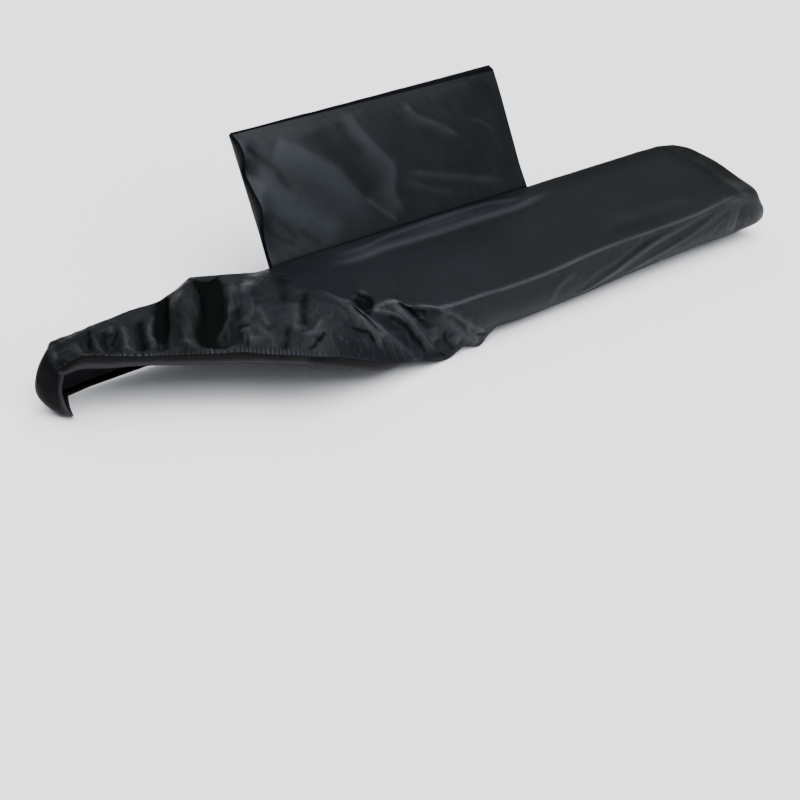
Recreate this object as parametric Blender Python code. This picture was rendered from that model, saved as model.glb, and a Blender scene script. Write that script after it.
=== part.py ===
"""Long fitted piano cover with a hood for the music rest, front left hem turned up.

The cover is one draped cloth: a top panel, a skirt all round and an elastic band along
its gathered hem.  A flat hood of two panels and a gusset stands on a slot at the rear edge.
Every sheet is a grid of points on the middle of the cloth, thickened half each way.

Tables are in millimetres, in the form's own frame: x along the cover from its left end,
y from the front to the rear, z up from the underside of what it covers.
"""
import math

import bmesh
import bpy
import numpy as np

for stale in list(bpy.data.objects):
    bpy.data.objects.remove(stale, do_unlink=True)

# ---------------------------------------------------------------- driving dimensions (mm)
DATUM = (667.0, 125.0, 85.8)      # middle of the top's underside: the part's origin
CLOTH_THICK = 1.5
BAND_THICK = 1.5
SEAM_GAP = 0.34                   # left between sheets that are sewn edge to edge

REAR_Y = 250.0                    # rear hem line
REAR_HEM_Z = -6.0
BAND_WIDTH = 18.0
CROWN = 1.5                       # the top panel's rise over a straight line across it

SLOT_LEFT, SLOT_RIGHT = 401.0, 950.0   # where the hood opens into the cover
HOOD_LEAN = math.radians(29.5)    # the hood leans back from upright
HOOD_SLANT_LEFT = 232.0           # its height along the slant, at either end
HOOD_SLANT_RIGHT = 240.0
HOOD_TAPER_RIGHT = 4.0            # it is this much narrower at the top right corner

# rows of the skirt from the crease (0) to the gathered hem (1); the first three round the crease
SKIRT_ROWS = (0.0, 0.07, 0.14, 0.34, 0.57, 0.80, 1.0)
# rows of the top from the front crease (0) to the rear one (1)
TOP_ROWS = (0.0, 0.08, 0.30, 0.56, 0.80, 0.94, 1.0)
SLOT_ROWS = 2                     # skirt rows that the slot takes at the rear
HOOD_ROWS = 9

# Stations along the front, left to right.
#  steps  grid columns to the next station      rear   x of the same column at the rear edge
#  crease x y z      gather (hem seam) x y z    band (free edge) x y z    belly, how far the
#  skirt swells between crease and gather, and peak, under 1 for a swell nearer the crease
FRONT = (
    # steps rear     crease               gather              band            belly peak
    (2,   16,    16, 232,  89,       2, 194,  64,       8, 181,  61,    12, 1.0),
    (3,   49,    49, 237,  89,      41, 190,  76,      32, 170,  69,     9, 0.9),
    (3,   90,    88, 239,  93,      74, 172,  76,      64, 151,  69,     7, 0.9),
    (3,  146,   145, 239,  98,     116, 142,  76,     107, 129,  69,     6, 0.9),
    (2,  194,   194, 239,  99,     146, 125,  76,     139, 110,  69,     6, 0.9),
    (2,  223,   223, 238, 108,     170, 110,  76,     162,  95,  69,     5, 0.9),
    (3,  252,   251, 236, 118,     193,  97,  76,     184,  81,  69,     4, 0.9),
    (3,  290,   290, 233, 103,     219,  81,  76,     210,  65,  69,     6, 0.8),
    (2,  320,   320, 232,  94,     247,  67,  76,     237,  49,  69,     9, 0.8),
    (3,  352,   346, 230,  97,     267,  49,  76,     259,  33,  69,    10, 0.8),
    (3,  401,   370, 216,  98,     286,  32,  76,     278,  19,  69,    10, 0.8),
    (3,  425,   388, 182, 101,     309,  12,  77,     305,  -2,  69,     9, 0.8),
    (3,  450,   408, 141, 100,     341,  -9,  75,     340, -12,  58,     9, 0.8),
    (3,  470,   424, 116,  98,     376, -17,  64,     379, -13,  40,     8, 0.8),
    (4,  492,   446,  84,  92,     450, -19,  28,     453, -11,   8,     8, 0.8),
    (4,  512,   449,  50,  88,     514, -15,   5,     516,  -2,  -3,     8, 0.9),
    (4,  534,   477,  58,  81,     555, -12, -13,     557,   4, -16,     6, 1.0),
    (4,  556,   518,  58,  80,     585,  -8, -20,     586,   9, -20,     6, 1.0),
    (3,  578,   532,  34,  75,     618,  -6,  -9,     618,  11, -12,     6, 1.1),
    (3,  600,   549,  18,  78,     648,  -7, -19,     648,  10, -19,     6, 1.2),
    (3,  625,   570,   4,  76,     670,  -4,  -6,     670,  13,  -9,     6, 1.2),
    (2,  650,   598,  -2,  75,     690,   0,   0,     690,  17,  -4,     6, 1.2),
    (2,  675,   627,  -4,  75,     706,   1,  -1,     706,  18,  -4,     5, 1.2),
    (2,  700,   660,  -4,  74,     722,   1,  -2,     722,  19,  -5,     5, 1.3),
    (2,  728,   695,  -4,  71,     741,   1,  -3,     741,  19,  -5,     5, 1.3),
    (2,  765,   746,  -4,  70,     772,   1,  -3,     772,  19,  -5,     5, 1.4),
    (2,  815,   807,  -4,  71,     815,   1,  -2,     815,  19,  -5,     5, 1.4),
    (3,  880,   881,  -4,  77,     884,   1,  -1,     884,  19,  -4,     5, 1.4),
    (3,  950,   951,  -4,  80,     952,   1,   2,     952,  19,  -1,     5, 1.4),
    (3, 1020,  1016,  -4,  79,    1015,   1,   5,    1015,  19,   2,     5, 1.4),
    (2, 1130,  1130,  -4,  79,    1134,   1,   8,    1134,  19,   5,     5, 1.4),
    (1, 1200,  1202,  -4,  85,    1203,   1,   8,    1203,  19,   5,     5, 1.4),
    (1, 1242,  1238,  -3,  87,    1246,   1,   6,    1245,  19,   4,     5, 1.4),
    (2, 1272,  1265,  -1,  86,    1290,   1,   8,    1284,  18,   5,     5, 1.3),
    (2, 1297,  1300,   0,  70,    1327,   0,  11,    1314,  16,   8,     5, 1.2),
    (0, 1316,  1324,   4,  58,    1348,   4,  15,    1332,  18,  12,     5, 1.1),
)

# Rear crease, left to right: it stands up where the cloth is bunched and steps in at the slot.
REAR = (
    #  x     y    z   belly peak
    (  16, 248,  82,    6, 0.6),
    (  50, 250,  82,    6, 0.6),
    (  92, 250,  87,    6, 0.6),
    ( 148, 250,  91,    6, 0.6),
    ( 198, 250,  91,    6, 0.6),
    ( 226, 250, 102,    7, 0.6),
    ( 254, 250, 117,    8, 0.6),
    ( 300, 250, 107,    8, 0.6),
    ( 345, 250,  96,    8, 0.6),
    ( 374, 249,  89,    8, 0.55),
    ( 401, 245,  91,    8, 0.5),
    ( 440, 241,  94,   11, 0.45),
    ( 900, 241,  94,   11, 0.45),
    ( 950, 245,  92,    8, 0.5),
    ( 985, 248,  91,    6, 0.5),
    (1240, 248,  91,    6, 0.5),
    (1285, 243,  91,    6, 0.5),
    (1316, 229,  90,    5, 0.5),
)

# Left end, from the front station to the rear one, and the right end likewise.
#  at  share of the way to the rear
LEFT_END = (
    #  at    crease            gather             band           belly peak
    (0.00,  16, 232, 89,     2, 194,  64,      8, 181,  61,    12, 1.0),
    (0.20,  13, 236, 88,    -4, 190,  40,     -1, 176,  42,    19, 1.1),
    (0.45,  11, 239, 87,    -6, 187,  12,      0, 171,  12,    27, 1.25),
    (0.68,  11, 242, 86,    -5, 196, -16,     11, 184, -17,    30, 1.35),
    (0.86,  12, 245, 84,     1, 222, -20,     17, 216, -20,    26, 1.3),
    (1.00,  16, 248, 82,    10, 246, -12,     22, 233, -13,     8, 0.9),
)
RIGHT_END = (
    #  at    crease              gather              band          belly peak
    (0.00, 1324,   4, 58,    1348,   4,  15,    1332,  18,  12,     5, 1.1),
    (0.10, 1333,  20, 66,    1347,  22,  13,    1329,  28,  11,     5, 1.0),
    (0.30, 1333,  66, 75,    1338,  64,   6,    1320,  64,   4,     4, 0.8),
    (0.52, 1333, 115, 85,    1336, 115,   0,    1318, 115,  -2,     4, 0.6),
    (0.74, 1334, 168, 88,    1337, 168,  -4,    1319, 168,  -5,     5, 0.6),
    (0.89, 1332, 203, 89,    1337, 206,  -6,    1319, 202,  -7,     5, 0.6),
    (1.00, 1318, 230, 89,    1324, 237,  -6,    1310, 224,  -7,     5, 0.5),
)

# Main folds of the skirt.  Each runs from one front station at the crease to another at the
# gather; reach is its half width in stations, rise its height (a trough is negative), and it
# fades in and out between the two heights on the skirt.
FOLDS = (
    # at crease  at gather  reach  rise  from   to
    ( 1.3,   1.3,   0.22,  -4.0,  0.15, 1.00),
    ( 1.75,  1.75,  0.20,   3.0,  0.30, 1.00),
    ( 2.2,   2.2,   0.22,  -5.0,  0.20, 1.00),
    ( 2.65,  2.65,  0.20,   4.0,  0.20, 1.00),
    ( 3.2,   3.15,  0.24,  -5.0,  0.10, 1.00),
    ( 4.0,   3.9,   0.30,  -9.0,  0.00, 1.00),
    ( 5.4,   5.3,   0.60,   8.0,  0.00, 1.00),
    ( 7.3,   7.0,   0.75, -15.0,  0.00, 1.00),
    ( 8.9,   8.4,   0.60,   8.0,  0.05, 1.00),
    (10.6,  10.2,   0.35,  -7.0,  0.00, 0.50),
    (10.8,  10.6,   0.25,  -6.0,  0.50, 1.00),
    (11.9,  11.6,   0.30,  -7.0,  0.10, 0.85),
    (13.8,  13.2,   0.40,   4.0,  0.35, 1.00),
    (14.6,  14.5,   0.22,  -6.0,  0.35, 0.95),
    (15.0,  15.0,   0.30,   7.0,  0.00, 1.00),
    (15.6,  15.6,   0.26,  -9.0,  0.00, 0.45),
    (16.15, 16.1,   0.22,   5.0,  0.05, 1.00),
    (16.55, 16.45,  0.17,  -8.0,  0.15, 0.90),
    (17.0,  17.0,   0.24,   8.0,  0.00, 1.00),
    (17.5,  17.45,  0.24,  -7.0,  0.10, 1.00),
    (18.05, 18.0,   0.26,   6.0,  0.25, 1.05),
    (18.6,  18.55,  0.22,  -6.0,  0.15, 1.00),
    (19.2,  19.2,   0.26,   6.0,  0.15, 1.10),
    (19.75, 19.7,   0.22,  -5.0,  0.15, 1.00),
    (20.2,  20.1,   0.26,   4.0,  0.10, 1.00),
    (30.3,  26.7,   0.32,   3.0,  0.02, 1.00),
    (30.8,  27.6,   0.30,  -2.5,  0.10, 1.00),
    (31.5,  28.4,   0.28,   2.5,  0.10, 1.00),
    (33.0,  32.6,   0.30,  -2.5,  0.20, 1.00),
)

# The hood's gusset: its width where the front panel stands off the back one.
GUSSET_LEFT = (
    # up   width: 0 at the base, 1 at the top
    (0.00,  7.0), (0.14, 10.0), (0.28, 20.0), (0.44, 42.0), (0.60, 28.0),
    (0.72, 20.0), (0.83, 37.0), (0.93, 30.0), (1.00, 14.0),
)
GUSSET_RIGHT = (
    (0.00,  7.0), (0.50, 9.0), (0.93, 9.0), (1.00, 8.0),
)
GUSSET_MIDDLE = (
    (0.00, 13.0), (0.20, 20.0), (0.50, 28.0), (0.80, 28.0), (0.93, 23.0), (1.00, 16.0),
)
TOP_RISE_LEFT, TOP_RISE_RIGHT = 3.0, 12.0   # how far the back panel stands above the front one

# Main folds of the hood's front panel: ridge or trough lines through two or three points,
# each point the share across and the share up.
HOOD_FOLDS = (
    # x0    y0     x1    y1     x2    y2   reach  rise
    (0.46, 0.93,  0.56, 0.55,  0.53, 0.05,  0.035,  3.5),
    (0.06, 0.92,  0.16, 0.66,  0.27, 0.42,  0.030, -3.0),
    (0.05, 0.34,  0.10, 0.22,  0.15, 0.08,  0.030, -3.5),
    (0.72, 0.95,  0.80, 0.80,  0.88, 0.64,  0.030,  2.0),
    (0.60, 0.36,  0.80, 0.26,  0.98, 0.16,  0.040,  2.0),
)


# ---------------------------------------------------------------- curves through tables
def through(rows, at, keys=None):
    """Smooth curve through the table rows (cubic, flat-free) at the places `at` of `keys`."""
    rows = np.asarray(rows, float)
    keys = np.arange(len(rows), dtype=float) if keys is None else np.asarray(keys, float)
    slope = np.gradient(rows, keys, axis=0)
    at = np.clip(np.atleast_1d(np.asarray(at, float)), keys[0], keys[-1])
    k = np.clip(np.searchsorted(keys, at, side="right") - 1, 0, len(keys) - 2)
    gap = keys[k + 1] - keys[k]
    u = ((at - keys[k]) / gap)[:, None]
    gap = gap[:, None]
    return ((2 * u**3 - 3 * u**2 + 1) * rows[k] + (u**3 - 2 * u**2 + u) * gap * slope[k]
            + (3 * u**2 - 2 * u**3) * rows[k + 1] + (u**3 - u**2) * gap * slope[k + 1])


def smooth_step(x):
    """0 below 0, 1 above 1, smooth between."""
    x = np.clip(x, 0.0, 1.0)
    return x * x * (3 - 2 * x)


def station_places():
    """Station number of every grid column, from the steps column."""
    places = []
    for k, row in enumerate(FRONT):
        places += [k + j / row[0] for j in range(row[0])]
    return np.array(places + [len(FRONT) - 1.0])


# ---------------------------------------------------------------- the cover's middle surface
class Cover:
    """Grids of the cover: top[column, row], skirt[loop, row] and band[loop, row]."""

    def __init__(self):
        front = np.array(FRONT, float)
        self.place = station_places()
        table = through(front[:, 1:], self.place)
        rear_x = table[:, 0]
        rear = np.array(REAR, float)
        rear_curve = np.stack([np.interp(rear_x, rear[:, 0], rear[:, c]) for c in range(5)], 1)
        inner = np.array(TOP_ROWS[1:-1])
        left, right = np.array(LEFT_END, float), np.array(RIGHT_END, float)
        left_rows = through(left[:, 1:], TOP_ROWS, left[:, 0])
        right_rows = through(right[:, 1:], TOP_ROWS, right[:, 0])

        # the four sides as one loop: crease, gather, band, belly, peak
        front_side = table[:, 1:]
        n = len(rear_x)
        hem_z = np.interp(rear_x, (16, 200, 1200, 1316), (-10, REAR_HEM_Z, REAR_HEM_Z, -6))
        hem_y = np.interp(rear_x, (16, 60, 1285, 1322), (246, REAR_Y, 248, 237))
        hem_x = np.interp(rear_x, (16, 60, 1285, 1316), (10, 60, 1285, 1324))
        rear_side = np.zeros((n, 11))
        rear_side[:, 0:3] = rear_curve[:, 0:3]
        rear_side[:, 3:6] = np.stack([hem_x, hem_y, hem_z], 1)
        inward = np.interp(rear_x, (16, 60, 1285, 1316), (12, 0, 0, -14))
        rear_side[:, 6:9] = np.stack([hem_x + inward, hem_y - BAND_WIDTH * 0.9, hem_z - 1.0], 1)
        rear_side[:, 9:11] = rear_curve[:, 3:5]
        front_side[0, :9], front_side[-1, :9] = left_rows[0, :9], right_rows[0, :9]
        rear_side[0, :9], rear_side[-1, :9] = left_rows[-1, :9], right_rows[-1, :9]
        loop = np.concatenate([front_side, right_rows[1:-1], rear_side[::-1],
                               left_rows[1:-1][::-1]], 0)
        self.columns = n
        self.loop = loop
        self.count = len(loop)
        self.corner = (0, n - 1, n - 1 + len(inner) + 1, 2 * n - 1 + len(inner))
        self.rear_x = rear_x
        self.top = self._top(front_side, rear_side, left_rows, right_rows)
        self.skirt = self._skirt()
        self.band = self._band()

    def _top(self, front_side, rear_side, left_rows, right_rows):
        """Ruled from front crease to rear crease, led into the end curves, lightly crowned."""
        t = np.array(TOP_ROWS)[None, :, None]
        f, r = front_side[:, None, :3], rear_side[:, None, :3]
        top = (1 - t) * f + t * r
        a = np.linspace(0, 1, self.columns)
        for rows, weight, end in ((left_rows, (1 - a) ** 24, 0), (right_rows, a ** 10, -1)):
            ruled = (1 - t[0]) * front_side[end, :3] + t[0] * rear_side[end, :3]
            top += weight[:, None, None] * (rows[None, :, :3] - ruled[None])
        depth = np.linalg.norm(r - f, axis=2)
        crown = 4 * t[..., 0] * (1 - t[..., 0]) * np.clip((depth - 40) / 200, 0, 1) * CROWN
        ends = (np.sin(np.pi * np.clip(a, 0, 1)) ** 0.5)[:, None]
        top[..., 2] += crown * ends
        top[:, 0], top[:, -1] = front_side[:, :3], rear_side[:, :3]
        top[0], top[-1] = left_rows[:, :3], right_rows[:, :3]
        return top

    def outward(self):
        """Unit direction out of the skirt at each loop station."""
        crease, gather = self.loop[:, 0:3], self.loop[:, 3:6]
        mid = 0.5 * (crease + gather)
        along = np.roll(mid, -1, 0) - np.roll(mid, 1, 0)
        out = np.cross(along, crease - gather)
        return out / np.linalg.norm(out, axis=1, keepdims=True)

    def _skirt(self):
        """Crease to gather in a straight line, swelled by the belly, with the main folds."""
        v = np.array(SKIRT_ROWS)[None, :]
        crease, gather = self.loop[:, None, 0:3], self.loop[:, None, 3:6]
        belly, peak = self.loop[:, 9:10], self.loop[:, 10:11]
        out = self.outward()[:, None, :]
        swell = belly * np.sin(np.pi * v ** peak)
        skirt = (1 - v[..., None]) * crease + v[..., None] * gather
        n = self.columns
        relief = np.zeros((self.count, v.shape[1]))
        relief[:n] = fold_relief(self.place[:, None], v)
        skirt = skirt + (swell + relief)[..., None] * out
        skirt[:, 0], skirt[:, -1] = self.loop[:, 0:3], self.loop[:, 3:6]
        return skirt

    def _band(self):
        """One strip from the gather to the free edge."""
        w = np.array([0.0, 1.0])[None, :, None]
        return (1 - w) * self.loop[:, None, 3:6] + w * self.loop[:, None, 6:9]


def fold_relief(place, v):
    """Height of the main folds at a station and a share down the skirt."""
    relief = np.zeros(np.broadcast(place, v).shape)
    for at_crease, at_gather, reach, rise, start, stop in FOLDS:
        centre = at_crease + (at_gather - at_crease) * v
        fade = smooth_step((v - start) / 0.25) * smooth_step((stop - v) / 0.16)
        relief += rise * np.exp(-((place - centre) / reach) ** 2) * fade
    return relief * smooth_step((1 - v) / 0.16)


# ---------------------------------------------------------------- the hood's middle surface
class Hood:
    """Grids of the hood: front[column, row], back[column, row] and gusset[along, across]."""

    def __init__(self, cover):
        n = cover.columns
        loop_rear = cover.corner[2] + np.arange(n)          # right to left
        keep = (cover.rear_x >= SLOT_LEFT - 0.01) & (cover.rear_x <= SLOT_RIGHT + 0.01)
        ids = loop_rear[::-1][keep]                          # left to right
        self.loop_ids = ids
        lip = cover.skirt[ids, 0]
        heel = cover.skirt[ids, SLOT_ROWS]
        across = (lip[:, 0] - lip[0, 0]) / (lip[-1, 0] - lip[0, 0])
        self.across = across
        up = np.linspace(0, 1, HOOD_ROWS)
        lean = np.array([0.0, math.sin(HOOD_LEAN), math.cos(HOOD_LEAN)])
        ahead = np.array([0.0, -math.cos(HOOD_LEAN), math.sin(HOOD_LEAN)])
        slant = HOOD_SLANT_LEFT + (HOOD_SLANT_RIGHT - HOOD_SLANT_LEFT) * across
        rise = TOP_RISE_LEFT + (TOP_RISE_RIGHT - TOP_RISE_LEFT) * across
        x = lip[:, 0]
        base = heel
        straight = base[len(base) // 2]
        plane = np.stack([x, np.full_like(x, straight[1]), np.full_like(x, straight[2])], 1)
        settle = (1 - smooth_step(up / 0.25))[None, :, None]
        back = plane[:, None] + (slant[:, None] * up[None, :])[..., None] * lean
        back[..., 0] -= HOOD_TAPER_RIGHT * across[:, None] * up[None, :]
        back = back + settle * (base - plane)[:, None]
        tables = [np.interp(up, *np.array(tab).T) for tab in
                  (GUSSET_LEFT, GUSSET_MIDDLE, GUSSET_RIGHT)]
        near_left = np.exp(-(across / 0.10) ** 2)[:, None]
        near_right = np.exp(-((1 - across) / 0.10) ** 2)[:, None]
        width = (tables[1][None] * (1 - near_left) * (1 - near_right)
                 + tables[0][None] * near_left + tables[2][None] * near_right)
        front = (plane[:, None] + ((slant - rise)[:, None] * up[None, :])[..., None] * lean
                 + (width + hood_relief(across[:, None], up[None, :]))[..., None] * ahead)
        front[..., 0] -= HOOD_TAPER_RIGHT * across[:, None] * up[None, :]
        front = (1 - settle) * front + settle * (front - front[:, :1] + lip[:, None])
        front[:, 0], back[:, 0] = lip, heel
        self.front, self.back = front, back
        rim_front = np.concatenate([front[0], front[1:, -1], front[-1, -2::-1]], 0)
        rim_back = np.concatenate([back[0], back[1:, -1], back[-1, -2::-1]], 0)
        middle = 0.5 * (rim_front + rim_back)
        bulge = np.zeros_like(middle)
        h = HOOD_ROWS
        bulge[1:h - 1, 0] = -3.0
        bulge[h:-h, 2] = 3.0
        bulge[-h + 1:-1, 0] = 3.0
        middle = middle + bulge
        middle[0] = cover.skirt[ids[0], 1]
        middle[-1] = cover.skirt[ids[-1], 1]
        self.gusset = np.stack([rim_front, middle, rim_back], 1)


def hood_relief(across, up):
    """Height of the hood's folds: a soft line through three points each."""
    relief = np.zeros(np.broadcast(across, up).shape)
    for x0, y0, x1, y1, x2, y2, reach, rise in HOOD_FOLDS:
        line_x = through([[x2], [x1], [x0]], np.clip(up, y2, y0).ravel(), (y2, y1, y0))
        line_x = line_x.reshape(up.shape)
        fade = smooth_step((up - y2 + 0.08) / 0.12) * smooth_step((y0 - up + 0.08) / 0.12)
        relief = relief + rise * np.exp(-((across - line_x) / reach) ** 2) * fade
    return relief


# ---------------------------------------------------------------- grids to sheets
class Patch:
    """One sheet's middle: points and quads, with rows of points shared by position."""

    def __init__(self):
        self.points, self.faces, self.index = [], [], {}

    def point(self, p):
        key = tuple(np.round(p, 4))
        if key not in self.index:
            self.index[key] = len(self.points)
            self.points.append(np.array(p, float))
        return self.index[key]

    def grid(self, grid, closed=False, skip=None):
        """Quads of a grid [i, j]; i closes on itself when asked; skip(i, j) leaves one out."""
        ni, nj = grid.shape[:2]
        for i in range(ni if closed else ni - 1):
            for j in range(nj - 1):
                if skip and skip(i, j):
                    continue
                k = (i + 1) % ni
                ring = [self.point(grid[a, b]) for a, b in ((i, j), (k, j), (k, j + 1), (i, j + 1))]
                ring = [p for q, p in enumerate(ring) if p != ring[q - 1]]
                if len(ring) > 2:
                    self.faces.append(ring)


def face_normal(points, face):
    """Area-weighted normal of a face."""
    p = [points[q] for q in face]
    n = np.zeros(3)
    for a, b in zip(p, p[1:] + p[:1]):
        n += np.cross(a - p[0], b - p[0])
    return n


def shared_normals(patches):
    """Normals at every point, averaged over all sheets that meet there."""
    total = {}
    for patch in patches:
        for face in patch.faces:
            n = face_normal(patch.points, face)
            n = n / (np.linalg.norm(n) + 1e-12)
            for q in face:
                key = tuple(np.round(patch.points[q], 4))
                total[key] = total.get(key, 0) + n
    return {key: n / np.linalg.norm(n) for key, n in total.items()}


def border_edges(faces):
    """Directed edges with a face on one side only."""
    edges = {(f[i], f[(i + 1) % len(f)]) for f in faces for i in range(len(f))}
    return [e for e in edges if (e[1], e[0]) not in edges]


def add_sheet(name, patch, thick, normals, material):
    """Closed sheet: the patch drawn in at its border, offset both ways and rimmed."""
    points = np.array(patch.points)
    border = border_edges(patch.faces)
    pull = np.zeros_like(points)
    for a, b in border:
        along = points[b] - points[a]
        for q in (a, b):
            n = normals[tuple(np.round(points[q], 4))]
            inward = np.cross(n, along)
            pull[q] += inward / (np.linalg.norm(inward) + 1e-12)
    for q in {q for e in border for q in e}:
        pull[q] *= 0.5 * SEAM_GAP * 2.0 / (np.linalg.norm(pull[q]) ** 2 + 1e-12)
    moved = points + pull
    lift = np.array([normals[tuple(np.round(p, 4))] for p in points]) * thick / 2
    outer, inner = moved + lift, moved - lift
    place = (np.concatenate([outer, inner]) - np.array(DATUM)) / 1000.0
    shell = bmesh.new()
    verts = [shell.verts.new(p) for p in place]
    count = len(points)
    for face in patch.faces:
        shell.faces.new([verts[q] for q in face])
        shell.faces.new([verts[count + q] for q in reversed(face)])
    for a, b in border:
        shell.faces.new([verts[b], verts[a], verts[count + a], verts[count + b]])
    bmesh.ops.triangulate(shell, faces=shell.faces[:])
    mesh = bpy.data.meshes.new(name)
    shell.to_mesh(mesh)
    shell.free()
    body = bpy.data.objects.new(name, mesh)
    mesh.materials.append(material)
    mesh.shade_smooth()
    mesh.set_sharp_from_angle(angle=math.radians(50))
    bpy.context.scene.collection.objects.link(body)
    return body


def fabric(name, colour, roughness):
    """Plain woven fabric."""
    material = bpy.data.materials.new(name)
    material.use_nodes = True
    shader = material.node_tree.nodes["Principled BSDF"]
    shader.inputs["Base Color"].default_value = (*colour, 1.0)
    shader.inputs["Roughness"].default_value = roughness
    shader.inputs["Metallic"].default_value = 0.0
    return material


def main():
    cover = Cover()
    hood = Hood(cover)
    first, last = hood.loop_ids.min(), hood.loop_ids.max()

    cloth = Patch()
    cloth.grid(cover.top)
    cloth.grid(cover.skirt[:, ::-1], closed=True,
               skip=lambda i, j: first <= i < last and len(SKIRT_ROWS) - 2 - j < SLOT_ROWS)
    band = Patch()
    band.grid(cover.band[:, ::-1], closed=True)
    front, back, gusset = Patch(), Patch(), Patch()
    front.grid(hood.front)
    back.grid(hood.back[::-1])
    gusset.grid(hood.gusset)

    normals = shared_normals((cloth, band, front, back, gusset))
    black = fabric("black polyester", (0.018, 0.019, 0.021), 0.45)
    hood_black = fabric("black polyester of the hood", (0.022, 0.024, 0.027), 0.42)
    elastic = fabric("black elastic band", (0.020, 0.018, 0.018), 0.6)
    add_sheet("cover_cloth", cloth, CLOTH_THICK, normals, black)
    add_sheet("elastic_band", band, BAND_THICK, normals, elastic)
    add_sheet("hood_front_panel", front, CLOTH_THICK, normals, hood_black)
    add_sheet("hood_back_panel", back, CLOTH_THICK, normals, hood_black)
    add_sheet("hood_gusset", gusset, CLOTH_THICK, normals, hood_black)


main()
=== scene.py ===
"""Looks of a long black piano cover with an elastic hem and a hood for the music rest.

Every sheet is a numpy grid on the same tables as its solid, at a finer step, with the
folds, gathers and creases that the solid is too coarse for.  Tables are in millimetres, in
the form's own frame: x from the left end, y from front to rear, z up; DATUM is the part's
origin in that frame, and points turn to metres from it when a mesh is made.
"""
import math

import bpy
import numpy as np
from mathutils import Matrix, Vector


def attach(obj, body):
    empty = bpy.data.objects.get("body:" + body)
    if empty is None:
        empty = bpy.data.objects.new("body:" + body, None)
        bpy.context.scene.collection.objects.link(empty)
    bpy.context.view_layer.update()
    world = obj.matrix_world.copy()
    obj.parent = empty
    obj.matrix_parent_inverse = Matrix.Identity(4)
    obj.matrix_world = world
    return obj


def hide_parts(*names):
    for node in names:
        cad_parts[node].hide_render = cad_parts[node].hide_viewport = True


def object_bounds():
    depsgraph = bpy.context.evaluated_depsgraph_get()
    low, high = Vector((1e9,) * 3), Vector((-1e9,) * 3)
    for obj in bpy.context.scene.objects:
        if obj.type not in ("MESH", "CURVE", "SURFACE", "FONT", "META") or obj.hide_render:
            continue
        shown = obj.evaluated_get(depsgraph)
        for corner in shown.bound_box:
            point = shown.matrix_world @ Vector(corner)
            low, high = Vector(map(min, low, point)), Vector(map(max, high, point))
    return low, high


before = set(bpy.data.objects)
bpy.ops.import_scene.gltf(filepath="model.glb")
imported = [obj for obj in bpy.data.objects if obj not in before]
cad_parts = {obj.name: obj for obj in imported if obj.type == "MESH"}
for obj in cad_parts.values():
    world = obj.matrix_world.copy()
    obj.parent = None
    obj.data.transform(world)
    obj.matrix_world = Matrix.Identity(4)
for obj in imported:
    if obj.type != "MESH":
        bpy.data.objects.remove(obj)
CAD_BOX = [[float(c) for c in corner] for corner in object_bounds()]

bl_info = {
    "name": "Piano Cover",
    "version": (1, 0, 0),
    "blender": (4, 5, 0),
    "location": "3D View > Sidebar > Piano Cover",
    "description": "Elastic-hemmed cover with a hood, its hem turned up at the front left",
    "category": "Add Mesh",
}

# ---------------------------------------------------------------- form, as in the solids (mm)
DATUM = np.array([667.0, 125.0, 85.8])
REAR_Y, REAR_HEM_Z, BAND_WIDTH, CROWN = 250.0, -6.0, 18.0, 1.5
SLOT_LEFT, SLOT_RIGHT, SLOT_SHARE = 401.0, 950.0, 0.14
HOOD_LEAN = math.radians(29.5)
HOOD_WIDE, HOOD_TALL, GUSSET_WIDE = 549.0, 236.0, 24.0
HOOD_SLANT_LEFT, HOOD_SLANT_RIGHT, HOOD_TAPER_RIGHT = 232.0, 240.0, 4.0
TOP_RISE_LEFT, TOP_RISE_RIGHT = 3.0, 12.0

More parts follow.
